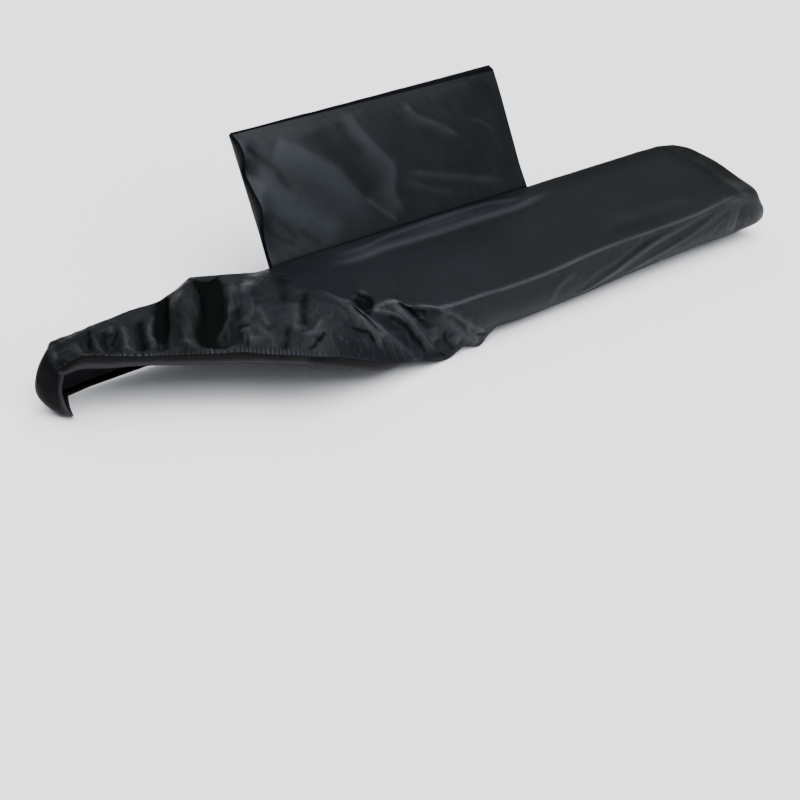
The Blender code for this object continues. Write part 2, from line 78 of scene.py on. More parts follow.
# Stations along the front, left to right.  A crease is the edge of the top, a gather the
# line where the skirt meets the band, and the band's row its free edge.  belly is how far
# the skirt swells, and peak moves the fullest place up or down.
# columns to the next station, x at the rear, crease x y z, gather x y z, band x y z, belly, peak
FRONT = (
    (2, 16, 16, 232, 89, 2, 194, 64, 8, 181, 61, 12, 1),
    (3, 49, 49, 237, 89, 41, 190, 76, 32, 170, 69, 9, 0.9),
    (3, 90, 88, 239, 93, 74, 172, 76, 64, 151, 69, 7, 0.9),
    (3, 146, 145, 239, 98, 116, 142, 76, 107, 129, 69, 6, 0.9),
    (2, 194, 194, 239, 99, 146, 125, 76, 139, 110, 69, 6, 0.9),
    (2, 223, 223, 238, 108, 170, 110, 76, 162, 95, 69, 5, 0.9),
    (3, 252, 251, 236, 118, 193, 97, 76, 184, 81, 69, 4, 0.9),
    (3, 290, 290, 233, 103, 219, 81, 76, 210, 65, 69, 6, 0.8),
    (2, 320, 320, 232, 94, 247, 67, 76, 237, 49, 69, 9, 0.8),
    (3, 352, 346, 230, 97, 267, 49, 76, 259, 33, 69, 10, 0.8),
    (3, 401, 370, 216, 98, 286, 32, 76, 278, 19, 69, 10, 0.8),
    (3, 425, 388, 182, 101, 309, 12, 77, 305, -2, 69, 9, 0.8),
    (3, 450, 408, 141, 100, 341, -9, 75, 340, -12, 58, 9, 0.8),
    (3, 470, 424, 116, 98, 376, -17, 64, 379, -13, 40, 8, 0.8),
    (4, 492, 446, 84, 92, 450, -19, 28, 453, -11, 8, 8, 0.8),
    (4, 512, 449, 50, 88, 514, -15, 5, 516, -2, -3, 8, 0.9),
    (4, 534, 477, 58, 81, 555, -12, -13, 557, 4, -16, 6, 1),
    (4, 556, 518, 58, 80, 585, -8, -20, 586, 9, -20, 6, 1),
    (3, 578, 532, 34, 75, 618, -6, -9, 618, 11, -12, 6, 1.1),
    (3, 600, 549, 18, 78, 648, -7, -19, 648, 10, -19, 6, 1.2),
    (3, 625, 570, 4, 76, 670, -4, -6, 670, 13, -9, 6, 1.2),
    (2, 650, 598, -2, 75, 690, 0, 0, 690, 17, -4, 6, 1.2),
    (2, 675, 627, -4, 75, 706, 1, -1, 706, 18, -4, 5, 1.2),
    (2, 700, 660, -4, 74, 722, 1, -2, 722, 19, -5, 5, 1.3),
    (2, 728, 695, -4, 71, 741, 1, -3, 741, 19, -5, 5, 1.3),
    (2, 765, 746, -4, 70, 772, 1, -3, 772, 19, -5, 5, 1.4),
    (2, 815, 807, -4, 71, 815, 1, -2, 815, 19, -5, 5, 1.4),
    (3, 880, 881, -4, 77, 884, 1, -1, 884, 19, -4, 5, 1.4),
    (3, 950, 951, -4, 80, 952, 1, 2, 952, 19, -1, 5, 1.4),
    (3, 1020, 1016, -4, 79, 1015, 1, 5, 1015, 19, 2, 5, 1.4),
    (2, 1130, 1130, -4, 79, 1134, 1, 8, 1134, 19, 5, 5, 1.4),
    (1, 1200, 1202, -4, 85, 1203, 1, 8, 1203, 19, 5, 5, 1.4),
    (1, 1242, 1238, -3, 87, 1246, 1, 6, 1245, 19, 4, 5, 1.4),
    (2, 1272, 1265, -1, 86, 1290, 1, 8, 1284, 18, 5, 5, 1.3),
    (2, 1297, 1300, 0, 70, 1327, 0, 11, 1314, 16, 8, 5, 1.2),
    (0, 1316, 1324, 4, 58, 1348, 4, 15, 1332, 18, 12, 5, 1.1),
)
# x y z of the rear crease, belly, peak
REAR = (
    (16, 248, 82, 6, 0.6),
    (50, 250, 82, 6, 0.6),
    (92, 250, 87, 6, 0.6),
    (148, 250, 91, 6, 0.6),
    (198, 250, 91, 6, 0.6),
    (226, 250, 102, 7, 0.6),
    (254, 250, 117, 8, 0.6),
    (300, 250, 107, 8, 0.6),
    (345, 250, 96, 8, 0.6),
    (374, 249, 89, 8, 0.55),
    (401, 245, 91, 8, 0.5),
    (440, 241, 94, 11, 0.45),
    (900, 241, 94, 11, 0.45),
    (950, 245, 92, 8, 0.5),
    (985, 248, 91, 6, 0.5),
    (1240, 248, 91, 6, 0.5),
    (1285, 243, 91, 6, 0.5),
    (1316, 229, 90, 5, 0.5),
)
# share from front to rear, then as in FRONT
LEFT_END = (
    (0, 16, 232, 89, 2, 194, 64, 8, 181, 61, 12, 1),
    (0.2, 13, 236, 88, -4, 190, 40, -1, 176, 42, 19, 1.1),
    (0.45, 11, 239, 87, -6, 187, 12, 0, 171, 12, 27, 1.25),
    (0.68, 11, 242, 86, -5, 196, -16, 11, 184, -17, 30, 1.35),
    (0.86, 12, 245, 84, 1, 222, -20, 17, 216, -20, 26, 1.3),
    (1, 16, 248, 82, 10, 246, -12, 22, 233, -13, 8, 0.9),
)
RIGHT_END = (
    (0, 1324, 4, 58, 1348, 4, 15, 1332, 18, 12, 5, 1.1),
    (0.1, 1333, 20, 66, 1347, 22, 13, 1329, 28, 11, 5, 1),
    (0.3, 1333, 66, 75, 1338, 64, 6, 1320, 64, 4, 4, 0.8),
    (0.52, 1333, 115, 85, 1336, 115, 0, 1318, 115, -2, 4, 0.6),
    (0.74, 1334, 168, 88, 1337, 168, -4, 1319, 168, -5, 5, 0.6),
    (0.89, 1332, 203, 89, 1337, 206, -6, 1319, 202, -7, 5, 0.6),
    (1, 1318, 230, 89, 1324, 237, -6, 1310, 224, -7, 5, 0.5),
)

# Main folds: in the lifted part as in the solids, in the right half a little shallower.  The
# bunched part's are among LINES.  Columns: station at the crease and at the gather, half
# width in stations, rise (a trough is negative), and the two shares of the way down the
# skirt between which the fold fades in and out.
FOLDS = (
    (1.3, 1.3, 0.22, -4, 0.15, 1),
    (1.75, 1.75, 0.2, 3, 0.3, 1),
    (2.2, 2.2, 0.22, -5, 0.2, 1),
    (2.65, 2.65, 0.2, 4, 0.2, 1),
    (3.2, 3.15, 0.24, -5, 0.1, 1),
    (4, 3.9, 0.3, -9, 0, 1),
    (5.4, 5.3, 0.6, 8, 0, 1),
    (7.3, 7, 0.75, -15, 0, 1),
    (8.9, 8.4, 0.6, 8, 0.05, 1),
    (30.3, 26.7, 0.32, 2.2, 0.02, 1),
    (30.8, 27.6, 0.3, -0.7, 0.1, 1),
    (31.5, 28.4, 0.28, 1.5, 0.1, 1),
    (33, 32.6, 0.3, -1.6, 0.2, 1),
)
# Creases placed one by one on the folds.  Columns: rise, negative for a trough; half widths
# (mm) to the left and to the right of one who walks the line; edge, 1 for a sharp crest and 2
# for a round one; and the line, each point a station of FRONT and a share down the skirt, or,
# when negative, a share back over the top.  Their rise also paints the colour: painted
# highlight on a ridge, painted shade in a trough.
LINES = (
    # light streak at the far left
    (0.8, 4, 4, 1.5, (0.75, 0.37, 1.06, 0.77, 1.28, 1)),
    # fine crease left of the V
    (-1.3, 4, 4, 1.6, (1.65, 0.1, 1.56, 0.47, 1.39, 0.84)),
    # V-shaped crease, left arm
    (-0.96, 4, 3, 1.6, (2.17, 0.27, 2.11, 0.57, 2.11, 0.86)),
    # its right arm
    (-0.96, 3, 4, 1.8, (2.56, 0.41, 2.39, 0.57, 2.22, 0.74)),
    # ridge between the arms
    (1.35, 5.5, 5.5, 2, (2.39, 0.24, 2.28, 0.44)),
    # ridge right of the V
    (0.96, 8, 8, 1.8, (2.72, 0.34, 2.67, 0.67, 2.56, 0.92)),
    # hollow right of it
    (-1.54, 5, 7, 2, (3.22, 0.24, 3.17, 0.51, 3.17, 0.74, 3.22, 0.88)),
    # S-shaped ridge
    (1.36, 7, 4, 1.5, (3.72, 0.17, 3.67, 0.34, 3.44, 0.54, 3.44, 0.64, 3.67, 0.74, 3.67, 0.92)),
    # narrow dark trough
    (-3.5, 12, 12, 2.4, (4.17, -0.1, 4.17, 0.02, 4.17, 0.27, 4.08, 0.54, 4, 0.86)),
    # cone-shaped flute
    (0.3, 9, 9, 2, (5.5, 0.02, 5.58, 0.44, 5.42, 0.71, 5.08, 0.94)),
    # its right edge
    (0.72, 5, 12, 1.6, (5.92, 0.17, 6.17, 0.41, 6.33, 0.57, 6.22, 0.67, 5.92, 0.84, 5.75, 0.94)),
    # wide dark trough
    (-5.5, 15, 20, 2.6, (6.94, -0.5, 6.94, 0, 6.94, 0.21, 6.83, 0.47, 6.56, 0.74, 6.28, 0.94)),
    # its upper left part
    (-3, 14, 10, 2.2, (6.33, -0.5, 6.33, 0.05, 6.56, 0.24, 6.67, 0.51)),
    # crest on its right edge
    (1.1, 6, 4, 1.6, (8.08, -0.3, 7.94, 0.02, 7.72, 0.24, 7.56, 0.47, 7.39, 0.57, 7, 0.71, 6.89,
     0.84)),
    # flute at the trough's foot
    (1.44, 2.8, 2.8, 1.6, (6.67, 0.77, 6.56, 0.98)),
    # star of ridges: upper arm
    (0.91, 5, 5, 1.3, (9.17, 0.34, 9.06, 0.51, 8.92, 0.64)),
    # left arm
    (0.91, 5, 5, 1.3, (8.92, 0.64, 8.17, 0.67, 7.61, 0.61)),
    # right arm
    (0.91, 5, 5, 1.3, (8.92, 0.64, 9.39, 0.74, 9.83, 0.81, 10.06, 0.94)),
    # short ridge right of the star
    (1.1, 5, 5, 1.3, (9.44, 0.44, 9.61, 0.61, 9.83, 0.71)),
    # groove under the left arm
    (-1.5, 3.3, 4.4, 2, (7.94, 0.71, 8.75, 0.74)),
    # fine arc below it
    (1.44, 3.3, 3.3, 1.3, (8, 0.77, 8.75, 0.77)),
    # small groove below the star
    (-0.91, 3, 3, 1.8, (8.5, 0.81, 8.42, 0.88, 8.33, 0.94)),
    # small groove at the trough's foot
    (-0.96, 3, 3, 1.8, (7.28, 0.67, 7.17, 0.98)),
    # soft groove from the crease
    (-1.21, 9, 9, 2, (10.89, -0.12, 10.89, -0.08, 10.89, 0.21, 10.83, 0.44)),
    # soft dark strip
    (-1.8, 7, 9, 2, (11.94, 0.07, 11.67, 0.31, 11.56, 0.51, 11.5, 0.67)),
    # groove near the hem
    (-1.44, 6, 7, 2, (10.94, 0.64, 10.72, 0.81, 10.5, 0.96)),
    # swelling between them
    (1.44, 8.8, 8.8, 2, (11.33, 0.31, 11.28, 0.54, 11.17, 0.74)),
    # light arc near the hem
    (1.6, 5, 4, 1.4, (12.44, 0.47, 12.11, 0.61, 11.78, 0.71, 11.33, 0.77)),
    # fine crease below the arc
    (-1.3, 3, 4, 1.6, (12.28, 0.71, 11.94, 0.81, 11.78, 0.88, 11.44, 0.94)),
    # long ridge where the hem turns down
    (1.45, 7, 7, 1.5, (12.67, -0.05, 12.83, -0.03, 13.5, 0.05, 14.29, -0.03, 14.08, 0.14, 14.17,
     0.27, 14.62, 0.31, 14.88, 0.44, 14.96, 0.57, 15, 0.74, 15.12, 0.9, 15.46, 0.96)),
    # its branch
    (0.6, 5, 5, 1.5, (14.96, 0.41, 15.25, 0.47, 15.79, 0.51, 15.67, 0.64, 15.58, 0.81, 15.79,
     0.88)),
    # pocket behind the ridge
    (-4.5, 6, 6, 2.2, (15.33, -0.21, 15.88, -0.19, 16.04, -0.1, 15.79, 0, 14.71, 0.12)),
    # the pocket's floor
    (-3.8, 8, 12, 2, (15.25, -0.2, 15.5, -0.12, 15.5, 0.01)),
    # short sharp ridge beside the flap
    (2.55, 3.7, 5.2, 1.3, (15.92, 0.02, 16.21, 0.09, 16.46, 0.17, 16.58, 0.27, 16.58, 0.37)),
    # edge of the flap
    (1.8, 5, 5.5, 1.4, (16.96, 0, 16.88, 0.14, 16.88, 0.24, 16.83, 0.37, 16.79, 0.47, 16.67, 0.64,
     16.58, 0.77, 16.62, 0.88)),
    # dark groove left of the flap
    (-2.21, 4, 6, 1.8, (16, 0.12, 16.33, 0.24, 16.42, 0.34, 16.38, 0.44, 16.25, 0.57, 16.21, 0.67,
     16.04, 0.84)),
    # curved groove right of it
    (-1.05, 3, 3, 1.6, (17.08, 0.24, 17.71, 0.14, 18.22, 0.09, 18.44, 0.14, 18.17, 0.27)),
    # light step across
    (1.58, 3.2, 3.2, 1.4, (16.92, 0.34, 18.17, 0.21)),
    # hollow under the flap's corner
    (-0.5, 4, 4, 1.8, (17.21, 0, 17.38, 0.05, 17.29, 0.14)),
    # hollow right of it
    (-1.15, 3.2, 3.2, 1.8, (17.25, 0.14, 18.39, 0)),
    # outer ridge at the turn
    (2.64, 3.2, 4.2, 1.3, (19.39, 0.05, 20, 0.07, 20.17, 0.21, 20.06, 0.44, 20.06, 0.67, 20.06,
     0.92)),
    # groove beside it
    (-0.95, 5, 5, 2, (19.89, 0.17, 19.78, 0.41, 19.56, 0.64)),
    # inner ridge
    (2.38, 3.2, 6.3, 1.3, (19.33, 0.21, 19.22, 0.44, 19.11, 0.64, 19.11, 0.81, 19.28, 0.94)),
    # forked ridge at the hem
    (1.34, 2.6, 2.6, 1.3, (20.39, 0.51, 19.89, 0.54, 19.56, 0.64, 19.39, 0.77, 19.5, 0.9)),
    # dark side of the fork
    (-1.6, 3, 3, 1.6, (19.56, 0.77, 19.94, 0.94)),
    # edge of a lens-shaped swelling
    (-1.15, 3.5, 3, 1.6, (18.33, 0.54, 17.92, 0.64, 17.62, 0.74, 17.5, 0.86, 17.5, 0.98)),
    # the swelling itself
    (2.2, 7.4, 7.4, 2, (18.33, 0.67, 17.92, 0.9)),
    # swelling beside the flap
    (1.92, 8.4, 8.4, 2, (17.79, 0.44, 17.12, 0.71)),
    # curved groove in the slack cloth
    (-1.92, 3, 6, 1.6, (13.44, 0.54, 13.61, 0.54, 13.78, 0.54, 14, 0.54, 14.04, 0.64, 14, 0.74)),
    # light swelling beyond it
    (0.6, 6, 6, 1.8, (13.67, 0.67, 13.78, 0.81)),
    # ridge right of it
    (0.54, 5, 5, 1.8, (14.92, 0.47, 14.54, 0.54, 14.21, 0.71, 14.08, 0.84)),
    # short slit near the hem
    (-1.2, 2.5, 2.5, 1.6, (16.71, 0.86, 16.96, 0.96)),
    # small groove
    (-1.5, 2.6, 2.6, 1.6, (12.44, 0.67, 11.94, 0.84)),
    # fine line near the hem
    (0.9, 2.6, 2.6, 1.5, (13, 0.71, 13.28, 0.81)),
    # long ridge from the right corner
    (0.59, 6, 6, 1.4, (31.17, 0.02, 30.42, 0.05, 29.89, 0.09, 29.5, 0.17, 29.22, 0.31, 28.89,
     0.54, 28.11, 0.71, 27.11, 0.77)),
    # second long ridge
    (0.48, 5, 5, 1.4, (29.39, 0.07, 29, 0, 28.78, 0.17, 28.06, 0.37, 27.17, 0.54, 26.75, 0.71)),
    # groove between them
    (-0.42, 4, 4, 2, (29.11, 0.17, 28.89, 0.34, 28.44, 0.47, 27.78, 0.64)),
    # short groove right of them
    (-0.42, 3, 3, 1.8, (29.89, 0.44, 29.56, 0.54, 29.28, 0.64, 28.94, 0.71)),
    # curved ridge in mid front
    (0.8, 7, 7, 1.6, (26.75, 0.24, 26.17, 0.41, 25.92, 0.64, 25.83, 0.86)),
    # short grooves near the right end
    (-0.6, 3, 3, 1.6, (31.33, 0.54, 31.17, 0.71, 31, 0.88)),
    (-0.6, 3, 3, 1.6, (32.83, 0.47, 32.5, 0.67, 32.5, 0.92)),
    (-0.56, 2.8, 2.8, 1.6, (33.33, 0.47, 33.75, 0.86)),
    # slanting groove below the corner
    (-0.48, 3.3, 3.3, 1.6, (32, 0.24, 31, 0.44, 30.5, 0.61)),
    # slanting ridge beside it
    (0.49, 3.3, 3.3, 1.6, (32.17, 0.31, 31.83, 0.57, 31.67, 0.81)),
    # light swelling on the corner
    (0.6, 9, 9, 2, (31.17, -0.05, 32.33, 0.05, 33.83, 0.14)),
    # broad swelling at the turn
    (0.9, 16, 16, 2, (19.11, 0.12, 19.17, 0.37, 19.39, 0.71, 19.67, 1)),
    # broad swelling right of the trough
    (1.6, 15, 15, 2, (8.25, 0.05, 8, 0.31, 7.78, 0.47)),
    # faint swelling along the top
    (0.4, 18, 18, 2, (30.58, -0.19, 29.56, -0.24, 28.11, -0.27)),
    # faint hollow before it
    (-0.3, 16, 16, 2, (29.56, -0.14, 29.06, -0.14, 28.11, -0.13)),
    # long ridge before the hood
    (1.7, 7, 10, 2, (13.11, -0.65, 16.25, -0.73, 19.28, -0.81, 21.75, -0.81, 24, -0.81, 25.83,
     -0.81, 26.92, -0.79, 27.61, -0.81, 28.61, -0.86)),
    # finer ridge behind it
    (1.35, 7, 7, 2, (14.79, -0.89, 17.21, -0.86, 19.78, -0.93, 22, -0.95, 24, -0.96, 25.42, -0.96,
     26.42, -0.95, 27, -0.91, 27.61, -0.89)),
    # broad swelling under both
    (1.2, 17, 17, 2, (13.94, -0.79, 17.21, -0.81, 20.56, -0.84, 24.25, -0.88, 26.58, -0.86, 28.11,
     -0.84)),
)

# Width of the hood's gusset (mm) by the share up: left side, middle of the top, right side.
GUSSET_LEFT = ((0, 7), (0.14, 10), (0.28, 20), (0.44, 42), (0.6, 28), (0.72, 20), (0.83, 37),
               (0.93, 30), (1, 14))
GUSSET_MIDDLE = ((0, 13), (0.2, 20), (0.5, 28), (0.8, 28), (0.93, 23), (1, 16))
GUSSET_RIGHT = ((0, 7), (0.5, 9), (0.93, 9), (1, 8))
# Creases of the hood's front panel, as LINES; each point is a share across and a share up.
HOOD_LINES = (
    # S-shaped ridge
    (1.3, 8, 22, 2, (0.398, 0.989, 0.4, 0.91, 0.413, 0.798, 0.448, 0.64, 0.488, 0.494, 0.484,
     0.404, 0.469, 0.303, 0.48, 0.169, 0.488, 0.045)),
    # ridge from the upper left
    (1.2, 10, 38, 2, (0.12, 0.888, 0.146, 0.843, 0.21, 0.73, 0.281, 0.584, 0.312, 0.472, 0.344,
     0.337, 0.408, 0.135)),
    # crease at the left
    (-0.8, 6, 8, 2, (0.018, 0.899, 0.037, 0.843, 0.089, 0.697, 0.106, 0.584, 0.134, 0.461)),
    # swelling beside it
    (0.35, 9, 9, 2, (0.004, 0.876, 0.035, 0.697, 0.085, 0.573, 0.146, 0.416)),
    # short creases low at the left
    (-0.6, 6, 6, 1.8, (0.004, 0.303, 0.049, 0.191, 0.102, 0.101)),
    (-0.6, 6, 6, 1.8, (0.027, 0.416, 0.075, 0.27, 0.112, 0.112)),
    (-0.5, 6, 6, 1.8, (0.108, 0.236, 0.143, 0.135, 0.181, 0.034)),
    # light ridge at the upper right
    (1, 5, 12, 1.8, (0.601, 0.944, 0.632, 0.798, 0.698, 0.697, 0.782, 0.539)),
    # long arc low at the right
    (0.8, 6, 10, 1.8, (0.514, 0.427, 0.644, 0.326, 0.763, 0.236, 0.914, 0.112)),
    # shorter arc below it
    (0.6, 6, 10, 1.8, (0.514, 0.36, 0.591, 0.258, 0.721, 0.112)),
    # small ridge at the right
    (0.5, 5, 5, 1.8, (0.821, 0.685, 0.879, 0.618, 0.929, 0.517)),
    # fine ridge low in the middle
    (1, 5, 5, 1.5, (0.362, 0.315, 0.418, 0.18, 0.469, 0.034)),
    # broad swelling low at the left
    (1.15, 26, 26, 2, (0.013, 0.618, 0.064, 0.472, 0.167, 0.27, 0.284, 0.079)),
    # broad hollow between the ridges
    (-0.6, 22, 22, 2, (0.256, 0.91, 0.271, 0.798, 0.319, 0.629, 0.37, 0.427, 0.403, 0.27)),
    # hollow left of the S
    (-0.5, 10, 10, 2, (0.349, 0.933, 0.367, 0.753, 0.405, 0.596)),
)

# ---------------------------------------------------------------- how the cloth lies, and where shade and highlight are painted
# Each is (stations of FRONT), (values): how slack the gathered hem is, how crumpled the
# skirt and the top are, and how much painted shade darkens the colour and dims the gloss
# along the front crease and the rear one.
SLACK = (0, 2, 9, 12, 20, 21.5, 35), (1, 1, 1, 0.7, 0.6, 0.25, 0.2)
CRUMPLED_SKIRT = (0, 14, 20.5, 22, 35), (1, 1, 1, 0.3, 0.3)
CRUMPLED_TOP = (0, 6, 14, 16), (1, 0.6, 0.3, 0.15)
PAINTED_SHADE_FRONT = ((0, 1.2, 2.4, 4.6, 5.5, 6.3, 8, 11, 20, 24),
              (0.34, 0.24, 0.12, 0.10, 0.22, 0.12, 0.04, 0, 0, 0.06))
PAINTED_SHADE_REAR = (0, 1.2, 2.4, 24, 30), (0.34, 0.22, 0, 0, 0.3)
# painted highlight along the front crease, where it is pulled tight
PAINTED_HIGHLIGHT_CREASE = (14, 17, 30, 33), (0, 0.5, 0.5, 0)
PAINTED_SHADE_RIGHT_END = (0.0, 0.1, 0.25), (0.15, 0.3, 0.3)  # by the share from front to rear
# painted shade over the whole left end, and the most of it low on the right end and the rear
PAINTED_SHADE_LEFT_END, PAINTED_SHADE_LOW = 0.34, 0.1
SLACK_ELSEWHERE, CRUMPLED_ELSEWHERE = 0.45, 0.2
# and the painted light on the hood by the share across: lighter at its left
HOOD_PAINTED_LIGHT = (0, 0.25, 0.5, 1), (0.24, 0.06, -0.03, -0.01)


# ---------------------------------------------------------------- curves and fields
def through(rows, at, keys=None):
    """Cubic through the table rows at the places `at`; slopes are central differences."""
    rows = np.asarray(rows, float)
    keys = np.arange(len(rows), dtype=float) if keys is None else np.asarray(keys, float)
    slope = np.gradient(rows, keys, axis=0)
    at = np.clip(np.atleast_1d(np.asarray(at, float)), keys[0], keys[-1])
    k = np.clip(np.searchsorted(keys, at, side="right") - 1, 0, len(keys) - 2)
    gap = (keys[k + 1] - keys[k])[:, None]
    u = (at - keys[k])[:, None] / gap
    return ((2 * u**3 - 3 * u**2 + 1) * rows[k] + (u**3 - 2 * u**2 + u) * gap * slope[k]
            + (3 * u**2 - 2 * u**3) * rows[k + 1] + (u**3 - u**2) * gap * slope[k + 1])


def smooth_step(x):
    """0 below 0, 1 above 1, smooth between."""
    x = np.clip(x, 0.0, 1.0)
    return x * x * (3 - 2 * x)


def arc_length(points):
    """Distance along a line of points, from its first."""
    step = np.linalg.norm(np.diff(points, axis=0), axis=1)
    return np.concatenate([[0.0], np.cumsum(step)])


def waves(points, length, seed, count=14):
    """Smooth random field from -1 to 1: the mean of plane waves of about that length (mm)."""
    rng = np.random.default_rng(seed)
    turn = rng.normal(size=(count, points.shape[-1]))
    turn /= np.linalg.norm(turn, axis=1, keepdims=True)
    turn *= 2 * np.pi / (length * rng.uniform(0.7, 1.4, (count, 1)))
    field = np.cos(points @ turn.T + rng.uniform(0, 2 * np.pi, count))
    return np.clip(field.sum(-1) / math.sqrt(count) * 0.9, -1, 1)


def crinkle(points, length, seed):
    """Sharp-ridged random field from 0 to 1: one less the size of a wave field, squared."""
    return (1 - np.abs(waves(points, length, seed))) ** 2


def gathers(along, seed, pitch):
    """Irregular gathers along a hem: a sine whose pitch wanders, sharper on its crests."""
    rng = np.random.default_rng(seed)
    knots = np.arange(0, along[-1] + 60, 19.0)
    rate = np.interp(along, knots, rng.uniform(0.55, 1.5, len(knots)))
    size = np.interp(along, knots + 7, rng.uniform(0.1, 1.35, len(knots)))
    phase = np.concatenate([[0.0], np.cumsum(np.diff(along) * rate[:-1])]) * 2 * np.pi / pitch
    return size * (np.abs(np.sin(phase / 2)) ** 0.8 * 2 - 1)


def fold_relief(table, place, v):
    """Height of the folds of a table at a station and a share down the skirt."""
    relief = np.zeros(np.broadcast(place, v).shape)
    for at_crease, at_gather, reach, rise, start, stop in table:
        centre = at_crease + (at_gather - at_crease) * v
        fade = smooth_step((v - start) / 0.25) * smooth_step((stop - v) / 0.16)
        relief += rise * np.exp(-((place - centre) / reach) ** 2) * fade
    return relief * smooth_step((1 - v) / 0.16)


def on_grid(grid, column, row):
    """Points of a grid at fractional columns and rows, by bilinear weights."""
    c = np.clip(column.astype(int), 0, grid.shape[0] - 2)
    r = np.clip(row.astype(int), 0, grid.shape[1] - 2)
    a, b = (column - c)[:, None], (row - r)[:, None]
    return ((1 - a) * ((1 - b) * grid[c, r] + b * grid[c, r + 1])
            + a * ((1 - b) * grid[c + 1, r] + b * grid[c + 1, r + 1]))


def crease_relief(rows, spot, points, normals):
    """Height of placed creases: rise * exp(-(distance / reach) ** edge), faded at the ends.

    spot(line) gives the line's knots in space; the reach differs on its two sides.
    """
    relief = np.zeros(len(points))
    for rise, left, right, edge, line in rows:
        knots = spot(np.array(line, float).reshape(-1, 2))
        path = through(knots, np.linspace(0, len(knots) - 1, 5 * len(knots)))
        wide = 2.6 * max(left, right)
        inside = (points > path.min(0) - wide) & (points < path.max(0) + wide)
        near = np.flatnonzero(inside.all(1))
        if not len(near):
            raise RuntimeError(f"a crease line lies off the cloth: {line}")
        step = np.diff(path, axis=0)
        gap = points[near, None] - path[None, :-1]
        s = np.clip((gap * step).sum(2) / (step ** 2).sum(1), 0, 1)
        gap -= s[..., None] * step
        k = (gap ** 2).sum(2).argmin(1)
        row = np.arange(len(near))
        gap, s = gap[row, k], s[row, k]
        side = (np.cross(gap, step[k]) * normals[near]).sum(1)
        reach = np.where(side > 0, right, left)
        along = (k + s) / len(step)
        fade = smooth_step(along / 0.18) * smooth_step((1 - along) / 0.18)
        relief[near] += rise * fade * np.exp(-(np.linalg.norm(gap, axis=1) / reach) ** edge)
    return relief


